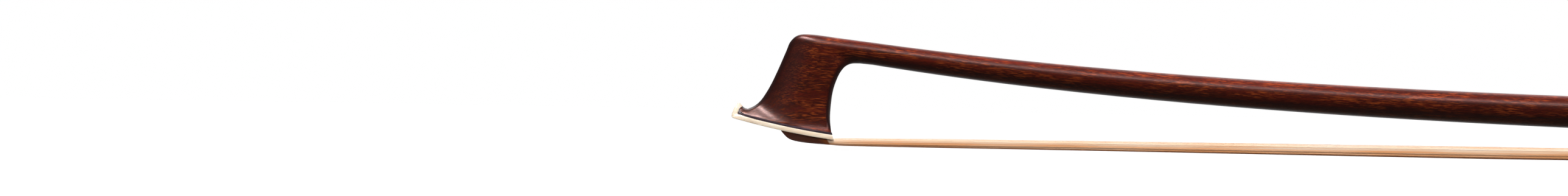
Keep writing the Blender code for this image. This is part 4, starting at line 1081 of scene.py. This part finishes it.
def dressNode(nodeName, name, material, body, edge):
    # a copy of a CAD node with its doubles merged, flats joined and edges rounded
    makeActive(frame["nodes"][nodeName])
    bpy.ops.object.duplicate()
    piece = bpy.context.active_object
    for key in list(piece.keys()):
        del piece[key]
    piece.parent = None
    bpy.ops.object.mode_set(mode="EDIT")
    bpy.ops.mesh.select_all(action="SELECT")
    bpy.ops.mesh.remove_doubles(threshold=0.002 * mm)
    bpy.ops.mesh.dissolve_limited(angle_limit=math.radians(0.5))
    bpy.ops.object.mode_set(mode="OBJECT")
    applyModifier(piece, "BEVEL", width=edge, segments=3, limit_method="ANGLE", angle_limit=math.radians(32))
    finishPiece(piece, name, material, body, [nodeName])


# The frog's eyes
eyeShape = {
    "corners": 64,
    "discEdge": 0.2 * mm,
    "ringWall": 0.6 * mm,
    "ringEdge": 0.1 * mm,
}


def addEyeRound(low, high, centre, ends):
    deselectAll()
    bpy.ops.mesh.primitive_cylinder_add(
        vertices=eyeShape["corners"], radius=(high.x - low.x) / 2, depth=high.y - low.y,
        location=centre, rotation=(math.pi / 2, 0, 0), end_fill_type=ends,
    )
    return bpy.context.active_object


def buildEyes(pearl, silver):
    # each eye is a pearl disc in a bevelled silver ring, set flush in the ebony
    shape = eyeShape
    for label in ("left", "right"):
        low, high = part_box(f"pearl_eye_{label}")
        centre = (low + high) / 2
        disc = addEyeRound(low, high, centre, "NGON")
        applyModifier(disc, "BEVEL", width=shape["discEdge"], segments=3, limit_method="ANGLE")
        finishPiece(disc, f"pearl_disc_{label}", pearl, "frog", [f"pearl_eye_{label}"])
        low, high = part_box(f"eye_ring_{label}")
        ring = addEyeRound(low, high, centre, "NOTHING")
        applyModifier(ring, "SOLIDIFY", thickness=shape["ringWall"], offset=-1.0)
        applyModifier(ring, "BEVEL", width=shape["ringEdge"], segments=3, limit_method="ANGLE")
        finishPiece(ring, f"silver_eye_ring_{label}", silver, "frog", [f"eye_ring_{label}"])


# The studio: a plain floor and sky
studio = {
    "floorSize": 12,
    "floorColour": "#8f8f8f",
    "floorGlow": (0.8, 1.0),  # under the bow and far away; with the lamps' light both are white
    "glowReach": (0.45, 1.3),
    "skyFill": 0.25,  # what the sky lights the bow with
}


def brightRays(tree):
    # 1 for what the camera sees, also in metal, polish and glass
    path = addNode(tree, "ShaderNodeLightPath")
    seen = addNode(tree, "ShaderNodeMath", {
        0: path.outputs["Is Camera Ray"], 1: path.outputs["Is Glossy Ray"],
    }, operation="MAXIMUM")
    seen = addNode(tree, "ShaderNodeMath", {
        0: seen.outputs["Value"], 1: path.outputs["Is Transmission Ray"],
    }, operation="MAXIMUM")
    return seen.outputs["Value"]


def buildStage():
    # white to the camera and in reflections, with the floor's shadow kept
    deselectAll()
    bpy.ops.mesh.primitive_plane_add(size=studio["floorSize"])
    floor = bpy.context.active_object
    floor.name = "studio_floor"
    made = bpy.data.materials.new("painted_floor")
    made.use_nodes = True
    tree = made.node_tree
    tree.nodes.clear()
    out = addNode(tree, "ShaderNodeOutputMaterial")
    diffuse = addNode(tree, "ShaderNodeBsdfDiffuse", {"Color": hexColour(studio["floorColour"])})
    place = addNode(tree, "ShaderNodeTexCoord").outputs["Object"]
    away = addNode(tree, "ShaderNodeVectorMath", {0: place}, operation="LENGTH")
    near, far = studio["glowReach"]
    least, most = studio["floorGlow"]
    glowing = addNode(tree, "ShaderNodeMapRange", {
        "Value": away.outputs["Value"], "From Min": near, "From Max": far, "To Min": least, "To Max": most,
    })
    glow = addNode(tree, "ShaderNodeEmission", {"Color": (1, 1, 1, 1), "Strength": glowing.outputs["Result"]})
    both = addNode(tree, "ShaderNodeAddShader", {0: diffuse.outputs[0], 1: glow.outputs[0]})
    mixed = addNode(tree, "ShaderNodeMixShader", {
        0: brightRays(tree), 1: diffuse.outputs[0], 2: both.outputs[0],
    })
    # from below the floor is clear
    side = addNode(tree, "ShaderNodeNewGeometry")
    clear = addNode(tree, "ShaderNodeBsdfTransparent")
    sided = addNode(tree, "ShaderNodeMixShader", {
        0: side.outputs["Backfacing"], 1: mixed.outputs[0], 2: clear.outputs[0],
    })
    tree.links.new(sided.outputs[0], out.inputs["Surface"])
    floor.data.materials.append(made)
    world = bpy.data.worlds.new("studio")
    bpy.context.scene.world = world
    world.use_nodes = True
    tree = world.node_tree
    tree.nodes.clear()
    out = addNode(tree, "ShaderNodeOutputWorld")
    strength = addNode(tree, "ShaderNodeMapRange", {
        "Value": brightRays(tree), "To Min": studio["skyFill"], "To Max": 1.0,
    })
    sky = addNode(tree, "ShaderNodeBackground", {
        "Color": (1, 1, 1, 1), "Strength": strength.outputs["Result"],
    })
    tree.links.new(sky.outputs[0], out.inputs["Surface"])


lamps = {
    # name: place, aim, width, height, watts, whether it shows in highlights alone
    "front_strip": ((0.0, -0.62, 0.86), (0.0, 0, 0.015), 1.7, 0.16, 16.0, False),
    "nose_softbox": ((-0.86, -0.66, 0.22), (-0.36, 0, 0.015), 0.3, 0.4, 0.9, False),
    "back_softbox": ((0.0, 0.75, 0.7), (0.0, 0, 0.015), 1.7, 0.8, 6.0, False),
    "edge_strip": ((0.2, -0.62, 0.86), (0.2, 0, 0.015), 1.5, 0.05, 34.0, True),
    "flare_lamp": ((-0.62, -0.28, 1.03), (-0.365, 0, 0.008), 0.34, 0.2, 72.0, True),
}


def addLamps():
    for name, (place, aim, width, height, watts, highlightAlone) in lamps.items():
        data = bpy.data.lights.new(name, "AREA")
        data.shape = "RECTANGLE"
        data.size = width
        data.size_y = height
        data.energy = watts
        lamp = bpy.data.objects.new(name, data)
        lamp.visible_camera = False
        lamp.visible_diffuse = not highlightAlone
        lamp.location = place
        lamp.rotation_mode = "QUATERNION"
        lamp.rotation_quaternion = (Vector(aim) - Vector(place)).to_track_quat("-Z", "Y")
        bpy.context.scene.collection.objects.link(lamp)


# The photograph: 2576 by 322 pixels, 6.8 to a millimetre, the nose at pixel 1203, 240, rolled 0.9 degrees
shot = {
    "width": 2576,
    "height": 322,
    "perMillimetre": 6.8,
    "nosePixel": (1203, 240),
    "roll": math.radians(0.9),
    "lens": 180.0,
    "sensor": 36.0,
    "clipEnd": 50.0,
}


def addCamera():
    data = bpy.data.cameras.new("camera")
    data.lens = shot["lens"]
    data.sensor_width = shot["sensor"]
    data.clip_end = shot["clipEnd"]
    camera = bpy.data.objects.new("camera", data)
    bpy.context.scene.collection.objects.link(camera)
    right = (shot["width"] / 2 - shot["nosePixel"][0]) / shot["perMillimetre"] * mm
    up = (shot["nosePixel"][1] - shot["height"] / 2) / shot["perMillimetre"] * mm
    cosine, sine = math.cos(shot["roll"]), math.sin(shot["roll"])
    centre = Vector((noseX + right * cosine - up * sine, 0, noseZ + right * sine + up * cosine))
    span = shot["width"] / shot["perMillimetre"] * mm
    camera.location = centre - Vector((0, span * shot["lens"] / shot["sensor"], 0))
    camera.rotation_euler = (math.pi / 2, -shot["roll"], 0)
    bpy.context.scene.camera = camera
    bpy.context.scene.view_settings.view_transform = "Standard"


addCamera()
addLamps()
buildStage()
print("studio")

ebony, silver, pearl = makeFinish("ebony_oiled"), makeFinish("silver_polished"), makeFinish("mother_of_pearl")
maple, thread = makeFinish("maple_raw"), makeFinish("linen_thread")
steel, brass = makeFinish("steel_turned"), makeFinish("brass_turned")

buildStick(makePernambuco())
buildPlateAndLiner(makeFinish("bone_polished"), makeFinish("ebony_liner_painted_sheen"))
buildHair(makeHair(True), makeHair(False))
buildGrip(
    makeFinish("goatskin_pared"),
    makeFinish("whalebone_imitation_dark"), makeFinish("whalebone_imitation_pale"),
)
buildEyes(pearl, silver)
for nodeName, name, material, slot, body, edge in (
    ("frog_block", "ebony_frog", ebony, "ebony", "frog", 0.18 * mm),
    ("ferrule", "silver_ferrule", silver, "silver", "frog", 0.08 * mm),
    ("heel_plate", "silver_heel_plate", silver, "silver", "frog", 0.06 * mm),
    ("underslide", "silver_underslide", silver, "silver", "frog", 0.05 * mm),
    ("slide_pearl", "pearl_slide", pearl, "pearl", "frog", 0.08 * mm),
    ("slide_back", "ebony_slide_back", ebony, "ebony", "frog", 0.05 * mm),
    ("eyelet", "brass_eyelet", brass, "brass", "frog", 0.06 * mm),
    ("button_core", "ebony_button", ebony, "ebony", "screw", 0.12 * mm),
    ("button_collar_front", "silver_collar_front", silver, "silver", "screw", 0.07 * mm),
    ("button_collar_rear", "silver_collar_rear", silver, "silver", "screw", 0.07 * mm),
):
    dressNode(nodeName, name, material, body, edge)
for nodeName, material in (
    ("tip_plug", maple), ("spread_wedge", maple), ("frog_plug", maple),
    ("tip_knot_thread", thread), ("frog_knot_thread", thread),
    ("heel_pin_lower", silver), ("heel_pin_upper", silver),
    ("underslide_screw_front", steel), ("underslide_screw_rear", steel), ("screw_shaft", steel),
    ("button_pearl", pearl),
):
    node = frame["nodes"][nodeName]
    node.data.materials.clear()
    node.data.materials.append(material)
print("frog and button")

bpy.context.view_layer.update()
deselectAll()
